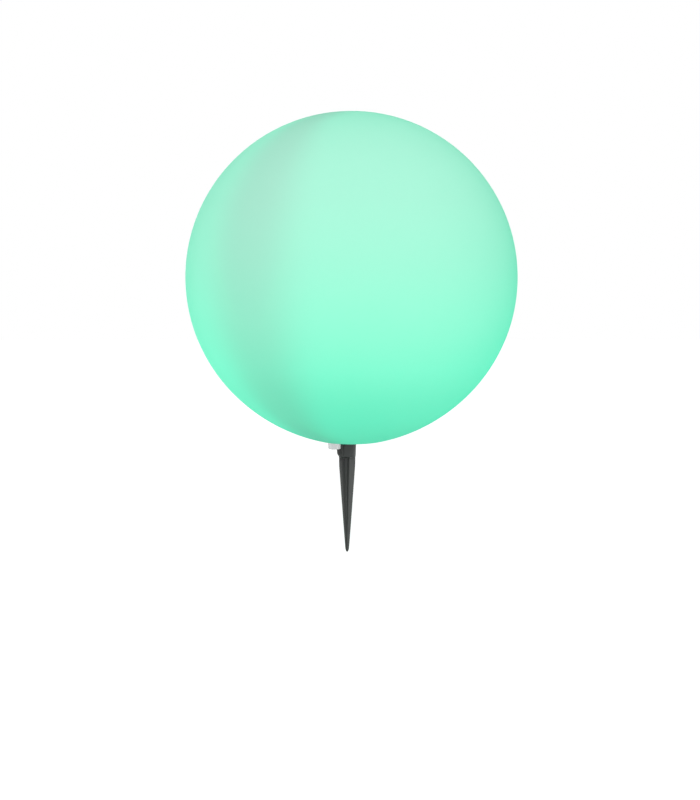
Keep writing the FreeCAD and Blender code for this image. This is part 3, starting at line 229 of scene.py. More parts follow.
COLLAR_PROFILE = ((0.00903, 0.0003), (0.00985, 0.0003), (0.0101, 0.0003), (0.01035, 0.00042),
                  (0.01051, 0.0007), (0.01119, 0.0209), (0.01112, 0.0212), (0.0108, 0.0213),
                  (0.0092, 0.0213), (0.00903, 0.0211), (0.00903, 0.0153), (0.00963, 0.0153),
                  (0.00963, 0.0127), (0.00903, 0.0127), (0.00903, 0.0003))
LIP_PROFILE = ((0.00925, 0.0003), (0.00725, 0.0003), (0.00725, 0.0028), (0.00925, 0.0028))
LIP_STARTS, LIP_SWEEP = (23.0, 203.0), radians(134.0)
GRIP_START, GRIP_END = radians(184.0), radians(245.7)
GRIP_COLUMNS, GRIP_ROWS, GRIP_RIM, GROOVE_FLOOR = 281, 61, 0.4999, 0.0001


def tree_of(name, **inputs):
    """An empty geometry node tree with named inputs; the piece's geometry comes in and goes out."""
    tree = bpy.data.node_groups.new(name, "GeometryNodeTree")
    tree.interface.new_socket("Geometry", in_out="INPUT", socket_type="NodeSocketGeometry")
    for key, kind in inputs.items():
        tree.interface.new_socket(key, in_out="INPUT", socket_type="NodeSocket" + kind)
    tree.interface.new_socket("Geometry", in_out="OUTPUT", socket_type="NodeSocketGeometry")
    return tree, add(tree, "NodeGroupInput").outputs


def finished_tree(tree, geometry, material):
    """Ends a tree in real geometry with its material."""
    real = add(tree, "GeometryNodeRealizeInstances", {"Geometry": geometry})
    add(tree, "NodeGroupOutput", {"Geometry": add(
        tree, "GeometryNodeSetMaterial", {"Geometry": real, "Material": material})})


def grown(tree, start, **values):
    """Runs a start mesh through a tree and returns the result as a bmesh."""
    seed = bpy.data.objects.new("seed", start)
    bpy.context.scene.collection.objects.link(seed)
    grower = seed.modifiers.new("grow", "NODES")
    grower.node_group = tree
    for item in tree.interface.items_tree:
        if item.in_out == "INPUT" and item.name in values:
            grower[item.identifier] = values[item.name]
    ready = seed.evaluated_get(bpy.context.evaluated_depsgraph_get())
    mesh = bpy.data.meshes.new_from_object(ready)
    seed.modifiers.remove(grower)
    bpy.data.objects.remove(seed)
    form = bmesh.new()
    form.from_mesh(mesh)
    return form


# Thumb grip: a grid over angle and height, pushed out to the crown and cut by round grooves
grip, given = tree_of("thumb_grip", Start="Float", End="Float", Grooves="Float", Groove="Float",
                      Crown="Float", Foot="Float", Corner="Float", Shoulder="Float", Peak="Float",
                      Root="Float", Low_side="Float", High_side="Float", Low_crown="Float",
                      Ends="Float", Material="Material")
sheet = add(grip, "GeometryNodeMeshGrid", {
    "Size X": 1.0, "Size Y": 1.0, "Vertices X": GRIP_COLUMNS, "Vertices Y": GRIP_ROWS})
spot = add(grip, "ShaderNodeSeparateXYZ", (add(grip, "GeometryNodeInputPosition"),))
across = add(grip, "ShaderNodeMath", (spot.outputs["X"], 0.5), operation="ADD")
turn = add(grip, "ShaderNodeMapRange", (across, 0.0, 1.0, given["Start"], given["End"]))
level = add(grip, "ShaderNodeMapRange", (
    spot.outputs["Y"], -0.5, 0.5, given["Foot"], given["Peak"]))
side = add(grip, "ShaderNodeMapRange", (
    level, given["Foot"], given["Peak"], given["Low_side"], given["High_side"]))
top = add(grip, "ShaderNodeMapRange", (
    level, given["Foot"], given["Peak"], given["Low_crown"], given["Crown"]))
# The crown swells from the foot in a quarter round, falls straight to the peak and slopes off at
# both ends
low = add(grip, "ShaderNodeMapRange", (level, given["Foot"], given["Corner"], 1.0, 0.0))
low_square = add(grip, "ShaderNodeMath", (low, low), operation="MULTIPLY")
low_round = add(grip, "ShaderNodeMath", (
    add(grip, "ShaderNodeMath", (1.0, low_square), operation="SUBTRACT"),), operation="SQRT")
high = add(grip, "ShaderNodeMapRange", (level, given["Peak"], given["Shoulder"], 0.0, 1.0))
swell = add(grip, "ShaderNodeMath", (low_round, high), operation="MULTIPLY")
nearer = add(grip, "ShaderNodeMath", (across, add(
    grip, "ShaderNodeMath", (1.0, across), operation="SUBTRACT")), operation="MINIMUM")
end = add(grip, "ShaderNodeMapRange", (nearer, 0.0, given["Ends"], 1.0, 0.0))
end_square = add(grip, "ShaderNodeMath", (end, end), operation="MULTIPLY")
end_slope = add(grip, "ShaderNodeMath", (1.0, end_square), operation="SUBTRACT")
stand = add(grip, "ShaderNodeMath", (top, side), operation="SUBTRACT")
share = add(grip, "ShaderNodeMath", (swell, end_slope), operation="MULTIPLY")
crown = add(grip, "ShaderNodeMath", (stand, share, side), operation="MULTIPLY_ADD")
# Each groove is a half round of its own radius about an upright line on the crown
lanes = add(grip, "ShaderNodeMath", (given["Grooves"], 1.0), operation="ADD")
lane = add(grip, "ShaderNodeMath", (across, lanes), operation="MULTIPLY")
nearest = add(grip, "ShaderNodeClamp", (
    add(grip, "ShaderNodeMath", (lane,), operation="ROUND"), 1.0, given["Grooves"]))
offset = add(grip, "ShaderNodeMath", (lane, nearest), operation="SUBTRACT")
sweep = add(grip, "ShaderNodeMath", (given["End"], given["Start"]), operation="SUBTRACT")
step = add(grip, "ShaderNodeMath", (sweep, lanes), operation="DIVIDE")
pitch = add(grip, "ShaderNodeMath", (step, given["Crown"]), operation="MULTIPLY")
away = add(grip, "ShaderNodeMath", (offset, pitch), operation="MULTIPLY")
away_square = add(grip, "ShaderNodeMath", (away, away), operation="MULTIPLY")
groove_square = add(grip, "ShaderNodeMath", (
    given["Groove"], given["Groove"]), operation="MULTIPLY")
left_over = add(grip, "ShaderNodeMath", (groove_square, away_square), operation="SUBTRACT")
dip = add(grip, "ShaderNodeMath", (
    add(grip, "ShaderNodeMath", (left_over, 0.0), operation="MAXIMUM"),), operation="SQRT")
cut = add(grip, "ShaderNodeMath", (dip, swell), operation="MULTIPLY")
grooved = add(grip, "ShaderNodeMath", (crown, cut), operation="SUBTRACT")
# A groove goes no deeper than just inside the ring's own side
face = add(grip, "ShaderNodeMath", (grooved, add(
    grip, "ShaderNodeMath", (side, GROOVE_FLOOR), operation="SUBTRACT")), operation="MAXIMUM")
# The grid's own rim goes down to the root, inside the ring, so that no open edge shows
inside = add(grip, "ShaderNodeMath", (
    add(grip, "ShaderNodeMath", (spot.outputs["X"], 0.0, GRIP_RIM), operation="COMPARE"),
    add(grip, "ShaderNodeMath", (spot.outputs["Y"], 0.0, GRIP_RIM), operation="COMPARE")),
             operation="MULTIPLY")
radius = add(grip, "ShaderNodeMix", {"Factor": inside, 2: given["Root"], 3: face},
             data_type="FLOAT")
place = add(grip, "ShaderNodeCombineXYZ", (
    add(grip, "ShaderNodeMath", (radius, add(grip, "ShaderNodeMath", (turn,), operation="COSINE")),
        operation="MULTIPLY"),
    add(grip, "ShaderNodeMath", (radius, add(grip, "ShaderNodeMath", (turn,), operation="SINE")),
        operation="MULTIPLY"), level))
bent = add(grip, "GeometryNodeSetPosition", {"Geometry": sheet.outputs["Mesh"], "Position": place})
finished_tree(grip, bent, given["Material"])

collar = grown(grip, bpy.data.meshes.new("start"), Start=GRIP_START, End=GRIP_END, Grooves=6.0,
               Groove=0.00075, Crown=0.0136, Low_crown=0.0123, Foot=0.0007, Corner=0.0053,
               Shoulder=0.0188, Peak=0.0208, Root=0.0098, Low_side=0.01051, High_side=0.01118,
               Ends=1.0 / 9.0, Material=black_polypropylene)
turned(collar, COLLAR_PROFILE, 128)
for lip_start in LIP_STARTS:
    turned(collar, LIP_PROFILE, 48, start=radians(lip_start), sweep=LIP_SWEEP)
kept(collar, "collar_moulding", black_polypropylene, "collar",
     ["locking_collar"])


# ---- Spike socket ---------------------------------------------------------------------------
# Black polypropylene cup that the spike's stem plugs into. Its lobed flange lies on a rubber ring
# inside the cover, held by four pan-head screws of zinc-plated steel with six-lobed recesses.

def softened(node, material, body, bevel):
    """Replaces a CAD node by a copy with whole faces and eased edges."""
    form = bmesh.new()
    form.from_mesh(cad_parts[node].data)
    bmesh.ops.remove_doubles(form, verts=form.verts, dist=1e-6)
    bmesh.ops.dissolve_limit(form, angle_limit=radians(1.0), verts=form.verts, edges=form.edges)
    kept(form, node + "_moulding", material, body, [node], bevel=bevel)


def dress(material, *nodes):
    """Gives CAD nodes that keep their shape their material."""
    for node in nodes:
        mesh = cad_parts[node].data
        mesh.materials.clear()
        mesh.materials.append(material)


def metal(name, colour, roughness, line_mm, stretch, **sockets):
    """Material of a bare or plated metal: fine lines of the given width, stretched one way."""
    material, tree, shader = surface(name, Metallic=1.0, **sockets)
    lines = add(tree, "ShaderNodeTexNoise", {
        "Vector": add(tree, "ShaderNodeMapping", {
            "Vector": add(tree, "ShaderNodeTexCoord").outputs["Object"], "Scale": stretch}),
        "Scale": 1000.0 / line_mm, "Detail": 2.0})
    dark, bright = [[c * f for c in linear(colour)[:3]] + [1.0] for f in (0.88, 1.06)]
    tone = add(tree, "ShaderNodeMix", {"Factor": lines, 6: dark, 7: bright}, data_type="RGBA")
    sheen = add(tree, "ShaderNodeMapRange", (lines, 0.0, 1.0, roughness - 0.08, roughness + 0.08))
    score = add(tree, "ShaderNodeBump", {"Height": lines, "Distance": 0.000004})
    tree.links.new(tone.outputs[2], shader.inputs["Base Color"])
    tree.links.new(sheen.outputs[0], shader.inputs["Roughness"])
    tree.links.new(score.outputs[0], shader.inputs["Normal"])
    return material


# Moulded rubber: nearly black, dull, with a matt skin
black_rubber = moulded("black_rubber", "#1D1D1E", 0.78, 0.25, 0.008, IOR=1.52,
                       Specular_IOR_Level=0.3)
# Zinc-plated steel, cold headed: a cool grey with soft broken highlights
zinc_steel = metal("zinc_plated_steel", "#BFC2C6", 0.34, 0.15, (1.0, 1.0, 1.0))

# One shape set in every place, tilted with the way it is driven and each stopped at its own turn
placing, given = tree_of("set_in_places", Shape="Object", Tilt="Float", Most_turn="Float",
                         Seed="Int", Material="Material")
stop = add(placing, "FunctionNodeRandomValue", {
    2: 0.0, 3: given["Most_turn"], "Seed": given["Seed"]}, data_type="FLOAT")
stance = add(placing, "FunctionNodeEulerToRotation", (
    add(placing, "ShaderNodeCombineXYZ", {"X": given["Tilt"], "Z": stop.outputs[1]}),))
placed = add(placing, "GeometryNodeInstanceOnPoints", {
    "Points": given["Geometry"], "Rotation": stance,
    "Instance": add(placing, "GeometryNodeObjectInfo", {
        "Object": given["Shape"]}).outputs["Geometry"]})
finished_tree(placing, placed, given["Material"])


def around(centre_x, circle, angles):
    """Places on a circle about a vertical axis, from angles in degrees."""
    return [(centre_x + circle * cos(radians(a)), circle * sin(radians(a))) for a in angles]


RING_POINTS = 48


def ring(level, radius, form=lambda a: 1.0):
    """One loop of points, round or with its radius changed by a rule of the angle."""
    angles = [2 * pi * i / RING_POINTS for i in range(RING_POINTS)]
    return [Vector((radius * form(a) * cos(a), radius * form(a) * sin(a), level)) for a in angles]


def set_in_places(name, loops, places, level, material, node, down=False,
                  most_turn=2 * pi, closed_ends=True):
    """Skins one shape, sets it in every place at its level and keeps them as a piece."""
    shape_mesh, place_mesh = bpy.data.meshes.new("shape"), bpy.data.meshes.new("places")
    form = skinned(loops, closed_ends)
    bmesh.ops.recalc_face_normals(form, faces=form.faces)
    form.to_mesh(shape_mesh)
    form.free()
    place_mesh.from_pydata([(x, y, level) for x, y in places], [], [])
    shape = bpy.data.objects.new("shape", shape_mesh)
    bpy.context.scene.collection.objects.link(shape)
    # The length of the piece's name is its seed: fixed, and not the same for all
    form = grown(placing, place_mesh, Shape=shape, Tilt=pi if down else 0.0,
                 Most_turn=most_turn, Seed=len(name), Material=material)
    bpy.data.objects.remove(shape)
    kept(form, name, material, "lamp", [node])


def six_lobed(a):
    """Share of its radius that a six-lobed recess has at an angle."""
    return 0.88 + 0.12 * cos(6 * a)


THREAD_PITCH, THREAD_STEPS, THREAD_DEPTH = 0.0006, 6, 0.07


def screws(node, places, shank, reach, head, head_height, down=False):
    """Pan-head screws, heads outwards: a lobed recess, a crowned head and a rolled thread."""
    loops = [ring(0.0009, 0.0007, six_lobed), ring(0.00015, 0.0009, six_lobed), ring(0.0, 0.00105),
             ring(0.00008, head - 0.0006), ring(0.00035, head - 0.0001), ring(0.0006, head),
             ring(head_height - 0.0001, head), ring(head_height, head - 0.0001),
             ring(head_height, shank)]
    thread_start, plain_ends, tip = head_height + 0.0004, 0.0012, head_height + reach
    for i in range(int((reach - plain_ends) / THREAD_PITCH * THREAD_STEPS)):
        level = thread_start + i * THREAD_PITCH / THREAD_STEPS
        loops.append(ring(level, shank, lambda a: (
            1 - THREAD_DEPTH + THREAD_DEPTH * cos(2 * pi * level / THREAD_PITCH - a))))
    loops += [ring(tip - 0.0003, 0.8 * shank), ring(tip, 0.45 * shank)]
    outer_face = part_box(node)[1][2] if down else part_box(node)[0][2]
    set_in_places(node + "_threaded", loops, places, outer_face, zinc_steel, node, down)


# Of a screw: the shank's radius, its reach past the head, the head's radius and its height
LARGE_SCREW = (0.0015, 0.0052, 0.0027, 0.0016)
SOCKET_SCREW_CIRCLE, MOULDED_EASING = 0.016, 0.00025

softened("spike_socket", black_polypropylene, "lamp", MOULDED_EASING)
dress(black_rubber, "socket_seal")
screws("socket_screws", around(0.0, SOCKET_SCREW_CIRCLE, (0.0, 90.0, 180.0, 270.0)), *LARGE_SCREW)


# ---- Base cover -------------------------------------------------------------------------------
# Round plate of black polypropylene that closes the globe's foot over a flat rubber gasket. Six
# small screws go through it into knurled brass inserts melted into the globe's flange.

# The globe's axis lies this far to the right of the spike's
GLOBE_AXIS = 0.0053
SMALL_SCREW = (0.00125, 0.0066, 0.0022, 0.0014)
COVER_CIRCLE = 0.0392
COVER_SCREWS = around(GLOBE_AXIS, COVER_CIRCLE, range(30, 390, 60))
softened("base_cover", black_polypropylene, "lamp", MOULDED_EASING)
dress(black_rubber, "base_gasket")
screws("cover_screws", COVER_SCREWS, *SMALL_SCREW)

# Turned brass: warm yellow, bright along the turning marks
turned_brass = metal("turned_brass", "#CDAE6A", 0.3, 0.2, (1.0, 1.0, 6.0))
INSERT_RADIUS, INSERT_BORE, INSERT_LENGTH = 0.00217, 0.00128, 0.0052
KNURL_BANDS, BAND_LENGTH = (0.0006, 0.0030), 0.0018


def knurl(a):
    """Share of its radius that a knurled band has at an angle: every other point is cut back."""
    return 1.0 if round(a * (RING_POINTS // 2) / pi) % 2 else 0.95


knurled = [ring(0.0, INSERT_BORE), ring(0.0, INSERT_RADIUS * 0.92),
           ring(0.0004, INSERT_RADIUS * 0.95)]
for band in KNURL_BANDS:
    knurled += [ring(band, INSERT_RADIUS, knurl), ring(band + BAND_LENGTH, INSERT_RADIUS, knurl),
                ring(band + BAND_LENGTH + 0.0001, INSERT_RADIUS * 0.9)]
knurled += [ring(INSERT_LENGTH, INSERT_RADIUS * 0.9), ring(INSERT_LENGTH, INSERT_BORE),
            ring(0.0, INSERT_BORE)]
set_in_places("inserts_knurled", knurled, COVER_SCREWS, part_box("threaded_inserts")[0][2],
              turned_brass, "threaded_inserts", closed_ends=False)


# ---- Push button ------------------------------------------------------------------------------
# ABS cap in silver-grey lacquer with a round edge and a slightly dished face, moulded with a
# flange that stops it in the cover. An O-ring seals it, and its stub presses a switch's pin.

# Silver-grey lacquer on ABS: fine metal flakes give it a soft, pale, even sheen of the surround
silver_lacquer = moulded("silver_lacquer", "#D6D6D7", 0.42, 0.3, 0.004, mottle=0.02, IOR=1.5,
                         Metallic=0.7)
BUTTON_AXIS = (-0.01505, -0.015)
# Centre and radius of the round that goes from the dished face to the side
EDGE_CENTRE, EDGE_LEVEL, EDGE_RADIUS = 0.0066, 0.01275, 0.00115
BUTTON_PROFILE = [(0.0, 0.01185), (0.003, 0.01182), (0.005, 0.01172), (0.006, 0.01162)]
BUTTON_PROFILE += [(EDGE_CENTRE + EDGE_RADIUS * sin(radians(a)),
                    EDGE_LEVEL - EDGE_RADIUS * cos(radians(a))) for a in range(0, 91, 10)]
BUTTON_PROFILE += [(0.00775, 0.02255), (0.00685, 0.02257), (0.00685, 0.02363), (0.00775, 0.02365),
                   (0.00775, 0.0246), (0.0084, 0.0246), (0.0085, 0.0247), (0.0085, 0.026),
                   (0.0084, 0.0261), (0.0024, 0.0261), (0.0024, 0.0288), (0.0022, 0.0290),
                   (0.0, 0.0290)]
cap = bmesh.new()
turned(cap, BUTTON_PROFILE, centre=BUTTON_AXIS)
kept(cap, "button_dished", silver_lacquer, "button", ["button_cap"])
dress(black_rubber, "button_ring")

# Glass-filled nylon of the switch: dark grey and dry looking, with glass fibres near the skin
filled_nylon = moulded("glass_filled_nylon", "#2B2B2D", 0.6, 0.4, 0.01, mottle=0.15)
dress(filled_nylon, "switch_plunger")
softened("tact_switch", filled_nylon, "lamp", 0.0003)


# ---- Charging port ----------------------------------------------------------------------------
# Rubber plug with a pull tab over a round hole in the cover. Behind it an upright charging socket
# of folded stainless sheet stands on the service board.

softened("port_plug", black_rubber, "plug", 0.0004)
# Folded stainless sheet: bright, with fine rolling lines along it
rolled_stainless = metal("rolled_stainless", "#B9BBBE", 0.28, 0.1, (1.0, 1.0, 0.12))
dress(rolled_stainless, "usb_socket")


# ---- Service board ----------------------------------------------------------------------------
# Round board of glass cloth and epoxy inside the cover, held by three screws on the cover's posts.
# It carries the button's switch and the charging socket.

def laminate(name, mask, trace, pitch_mm):
    """Material of a circuit board: solder mask over copper traces and woven glass cloth."""
    material, tree, shader = surface(name, IOR=1.5, Coat_Weight=0.35, Coat_Roughness=0.12)
    place = add(tree, "ShaderNodeTexCoord").outputs["Object"]
    # Traces 0.4 mm wide, a few millimetres apart, in a brick bond so that they step and turn
    traces = add(tree, "ShaderNodeTexBrick", {
        "Vector": place, "Scale": 1.0, "Mortar Size": 0.0002, "Mortar Smooth": 0.2,
        "Brick Width": 0.001 * pitch_mm * 3, "Row Height": 0.001 * pitch_mm})
    # Glass threads under a millimetre apart, drawn 2.8 mm apart so that the weave can show
    cloth = {"Vector": place, "Scale": 1000.0 / 9.0}
    warp = add(tree, "ShaderNodeTexWave", cloth, bands_direction="X")
    weft = add(tree, "ShaderNodeTexWave", cloth, bands_direction="Y")
    weave = add(tree, "ShaderNodeMath", (warp.outputs["Fac"], weft.outputs["Fac"]),
                operation="MULTIPLY")
    tone = add(tree, "ShaderNodeMix", {
        "Factor": traces.outputs["Fac"], 6: linear(mask), 7: linear(trace)}, data_type="RGBA")
    relief = add(tree, "ShaderNodeMath", (traces.outputs["Fac"], weave), operation="ADD")
    skin = add(tree, "ShaderNodeBump", {"Height": relief, "Distance": 0.00001})
    gloss = add(tree, "ShaderNodeMapRange", (weave, 0.0, 1.0, 0.3, 0.42))
    tree.links.new(tone.outputs[2], shader.inputs["Base Color"])
    tree.links.new(gloss.outputs[0], shader.inputs["Roughness"])
    tree.links.new(skin.outputs[0], shader.inputs["Normal"])
    return material


# Green solder mask: glossy, darker over bare laminate and lighter over copper
green_board = laminate("green_solder_mask", "#14502F", "#1F6B40", 2.4)
dress(green_board, "service_board", "driver_board")
SERVICE_CIRCLE = 0.026
screws("service_screws", around(GLOBE_AXIS, SERVICE_CIRCLE, (105.0, 255.0, 335.0)), *SMALL_SCREW,
       down=True)


# ---- Module housing ---------------------------------------------------------------------------
# Off-white ABS can that stands on the cover over a flat seal. Three screws come up through the
# cover into its columns.

# Moulded ABS: warm white, satin
white_abs = moulded("white_abs", "#E2E1DC", 0.42, 0.5, 0.01, mottle=0.02, IOR=1.53)
softened("module_housing", white_abs, "lamp", 0.0003)
dress(black_rubber, "housing_seal")
COLUMN_CIRCLE = 0.031
COLUMNS = around(GLOBE_AXIS, COLUMN_CIRCLE, (60.0, 180.0, 300.0))
screws("housing_screws", COLUMNS, *LARGE_SCREW)


# ---- Battery ----------------------------------------------------------------------------------
# Three rechargeable round cells in shrink sleeves, side by side in a black ABS cradle, joined by
# welded nickel strips and held down by a pad of closed-cell foam.

CELL_FOOT, CELL_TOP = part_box("battery_cells")[0][2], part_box("battery_cells")[1][2]
CELL_RADIUS, CELL_CIRCLE = 0.0091, 0.021
CELLS = around(GLOBE_AXIS, CELL_CIRCLE, (0.0, 120.0, 240.0))
# Shrink sleeve of blue PVC: glossy and even, drawn over the rolled ends of a nickel-plated can
shrink_sleeve, tree, shader = surface("shrink_sleeve", IOR=1.53)
place = add(tree, "ShaderNodeTexCoord").outputs["Object"]
height = add(tree, "ShaderNodeSeparateXYZ", (place,)).outputs["Z"]
bare = add(tree, "ShaderNodeMath", (height, CELL_TOP - 0.0011), operation="GREATER_THAN")
creases = add(tree, "ShaderNodeTexNoise", {"Vector": place, "Scale": 1000.0 / 3.0, "Detail": 2.0})
film = add(tree, "ShaderNodeMix", {"Factor": creases, 6: linear("#1A4A86"), 7: linear("#235A9C")},
           data_type="RGBA").outputs[2]
tone = add(tree, "ShaderNodeMix", {"Factor": bare, 6: film, 7: linear("#BDB9B2")}, data_type="RGBA")
tree.links.new(tone.outputs[2], shader.inputs["Base Color"])
tree.links.new(bare.outputs[0], shader.inputs["Metallic"])
tree.links.new(add(tree, "ShaderNodeMapRange", (creases, 0.0, 1.0, 0.2, 0.36)).outputs[0],
               shader.inputs["Roughness"])
tree.links.new(add(tree, "ShaderNodeBump", {"Height": creases, "Distance": 0.00002}).outputs[0],
               shader.inputs["Normal"])
cell_profile = [(0.0, CELL_FOOT), (CELL_RADIUS - 0.0012, CELL_FOOT),
                (CELL_RADIUS - 0.0004, CELL_FOOT + 0.0002), (CELL_RADIUS, CELL_FOOT + 0.0009),
                (CELL_RADIUS, CELL_TOP - 0.0042),
                (CELL_RADIUS - 0.0005, CELL_TOP - 0.0036), (CELL_RADIUS, CELL_TOP - 0.0030),
                (CELL_RADIUS, CELL_TOP - 0.0016), (CELL_RADIUS - 0.0004, CELL_TOP - 0.0010),
                (CELL_RADIUS - 0.0016, CELL_TOP - 0.0009),
                (CELL_RADIUS - 0.0018, CELL_TOP - 0.0012), (0.0036, CELL_TOP - 0.0012),
                (0.0034, CELL_TOP - 0.0009), (0.0030, CELL_TOP - 0.0001), (0.0028, CELL_TOP),
                (0.0, CELL_TOP)]
cells = bmesh.new()
for cell_place in CELLS:
    turned(cells, cell_profile, 64, centre=cell_place)
kept(cells, "cells_sleeved", shrink_sleeve, "lamp", ["battery_cells"])

# Moulded black ABS: deeper black and smoother than the outside pieces
black_abs = moulded("black_abs", "#202021", 0.38, 0.6, 0.008, IOR=1.53)
softened("battery_cradle", black_abs, "lamp", 0.0003)
# Nickel-plated strip: warm grey metal with rolling lines along the strip
nickel_strip = metal("nickel_strip", "#B8B4AC", 0.25, 0.12, (0.2, 1.0, 1.0))
dress(nickel_strip, "nickel_strips")

# Closed-cell foam: dark grey, dead matt, with open bubbles of about 0.8 mm on its cut face
closed_cell_foam, tree, shader = surface("closed_cell_foam", IOR=1.4, Specular_IOR_Level=0.2,
                                         Roughness=0.95)
bubbles = add(tree, "ShaderNodeTexVoronoi", {
    "Vector": add(tree, "ShaderNodeTexCoord").outputs["Object"], "Scale": 1000.0 / 0.8})
tone = add(tree, "ShaderNodeMix", {"Factor": bubbles, 6: linear("#232325"), 7: linear("#3A3A3C")},
           data_type="RGBA")
tree.links.new(tone.outputs[2], shader.inputs["Base Color"])
tree.links.new(add(tree, "ShaderNodeBump", {"Height": bubbles, "Distance": 0.0002}).outputs[0],
               shader.inputs["Normal"])
foam_foot, foam_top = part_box("foam_pad")[0][2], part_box("foam_pad")[1][2]
foam_middle = 0.5 * (foam_foot + foam_top)
foam_profile = ((0.0, foam_foot), (0.0081, foam_foot), (0.0085, foam_foot + 0.0005),
                (0.0083, foam_middle), (0.0085, foam_top - 0.0005), (0.0081, foam_top),
                (0.0, foam_top))
foam = bmesh.new()
turned(foam, foam_profile, 64, centre=(GLOBE_AXIS, 0.0))
kept(foam, "foam_squeezed", closed_cell_foam, "lamp", ["foam_pad"])


# ---- Driver board -----------------------------------------------------------------------------
# Board that charges the cells and drives the lights, screwed to the housing's columns, with its
# controller, three transistors, a coil, two capacitors and two plugs.

# Moulded epoxy of the chips: black, dull, finely pitted
moulded_epoxy = moulded("moulded_epoxy", "#17171A", 0.62, 0.15, 0.006)
softened("driver_chips", moulded_epoxy, "lamp", 0.0002)
# Sintered ferrite: dark grey with a slight dry sparkle
sintered_ferrite = moulded("sintered_ferrite", "#3D3D40", 0.5, 0.12, 0.01, mottle=0.2)
softened("power_inductor", sintered_ferrite, "lamp", 0.0003)
# Nylon of the plugs: milky cream, slightly glossy
cream_nylon = moulded("cream_nylon", "#E4DFCE", 0.36, 0.5, 0.006, mottle=0.02)
softened("board_connectors", cream_nylon, "lamp", 0.0003)
screws("driver_screws", COLUMNS, *SMALL_SCREW, down=True)

# Drawn aluminium can: bright, with faint upright drawing lines
drawn_aluminium = metal("drawn_aluminium", "#C9CBCE", 0.26, 0.1, (1.0, 1.0, 0.1))
can_foot, can_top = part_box("capacitors")[0][2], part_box("capacitors")[1][2]
can_profile = ((0.0, can_foot), (0.0028, can_foot), (0.003, can_foot + 0.0002),
               (0.003, can_foot + 0.0009), (0.00275, can_foot + 0.0012),
               (0.003, can_foot + 0.0015), (0.003, can_top - 0.0003),
               (0.0028, can_top - 0.00005), (0.0025, can_top), (0.0021, can_top - 0.0001),
               (0.0, can_top - 0.0001))
CAN_CIRCLE = 0.016
cans = bmesh.new()
for can_place in around(GLOBE_AXIS, CAN_CIRCLE, (255.0, 285.0)):
    turned(cans, can_profile, 48, centre=can_place)
kept(cans, "capacitors_drawn", drawn_aluminium, "lamp", ["capacitors"])


# ---- Light head -------------------------------------------------------------------------------
# Milled aluminium lid that carries a round white light board with eighteen colour-changing chips
# in two rings, and the receiver for a remote control.

# Milled aluminium: pale grey with the cutter's fine parallel lines
milled_aluminium = metal("milled_aluminium", "#C4C6C8", 0.32, 0.3, (0.15, 1.0, 1.0))
dress(milled_aluminium, "heat_plate")
# White solder mask: clean white, slightly glossy, traces hardly darker
white_board = laminate("white_solder_mask", "#EDEDE8", "#DEDED8", 3.2)
dress(white_board, "led_board")
SHORT_SCREW, BOARD_SCREW_CIRCLE = (0.00125, 0.0046, 0.0022, 0.0014), 0.0223
screws("led_screws", around(GLOBE_AXIS, BOARD_SCREW_CIRCLE, (15.0, 135.0, 255.0)), *SHORT_SCREW,
       down=True)

CHIP_HALF, CHIP_HEIGHT, WINDOW_RADIUS = 0.0025, 0.0016, 0.0019
OUTER_CHIP_CIRCLE, INNER_CHIP_CIRCLE = 0.018, 0.0095
chip_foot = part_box("led_chips")[0][2]
# White moulded body round a window of cast resin, which looks milky yellow over the light crystals
chip_resin, tree, shader = surface("chip_resin", IOR=1.53, Roughness=0.3)
place = add(tree, "ShaderNodeTexCoord")
up = add(tree, "ShaderNodeSeparateXYZ", (place.outputs["Normal"],)).outputs["Z"]
height = add(tree, "ShaderNodeSeparateXYZ", (place.outputs["Object"],)).outputs["Z"]
window = add(tree, "ShaderNodeMath", (
    add(tree, "ShaderNodeMath", (up, 0.9), operation="GREATER_THAN"),
    add(tree, "ShaderNodeMath", (height, chip_foot + CHIP_HEIGHT - 0.0001), operation="LESS_THAN")),
             operation="MULTIPLY")
cloud = add(tree, "ShaderNodeTexNoise", {
    "Vector": place.outputs["Object"], "Scale": 1000.0 / 0.6, "Detail": 2.0})
resin = add(tree, "ShaderNodeMix", {"Factor": cloud, 6: linear("#E9DC8A"), 7: linear("#F2EAB4")},
            data_type="RGBA").outputs[2]
tone = add(tree, "ShaderNodeMix", {"Factor": window, 6: linear("#EFEFEA"), 7: resin},
           data_type="RGBA")
tree.links.new(tone.outputs[2], shader.inputs["Base Color"])
tree.links.new(add(tree, "ShaderNodeBump", {"Height": cloud, "Distance": 0.00002}).outputs[0],
               shader.inputs["Normal"])


def square(a):
    """Share by which a square reaches past its half side at an angle."""
    return 1.0 / max(abs(cos(a)), abs(sin(a)))


chip = [ring(0.0, CHIP_HALF, square), ring(CHIP_HEIGHT - 0.0001, CHIP_HALF, square),
        ring(CHIP_HEIGHT, CHIP_HALF - 0.0001, square), ring(CHIP_HEIGHT, WINDOW_RADIUS),
        ring(CHIP_HEIGHT - 0.0003, WINDOW_RADIUS - 0.0002)]
chip_places = around(GLOBE_AXIS, OUTER_CHIP_CIRCLE, range(0, 360, 30))
chip_places += around(GLOBE_AXIS, INNER_CHIP_CIRCLE, range(0, 360, 60))
set_in_places("light_chips", chip, chip_places, chip_foot, chip_resin, "led_chips",
              most_turn=0.0)

# Tinted resin of the receiver: almost black, glassy, faintly violet where light gets through
tinted_resin = moulded("tinted_resin", "#140F18", 0.14, 1.2, 0.004, IOR=1.55)
dress(tinted_resin, "infrared_receiver")


# ---- Diffuser dome ----------------------------------------------------------------------------
# Shallow dome of frosted polycarbonate over the light board, screwed down through its flange.

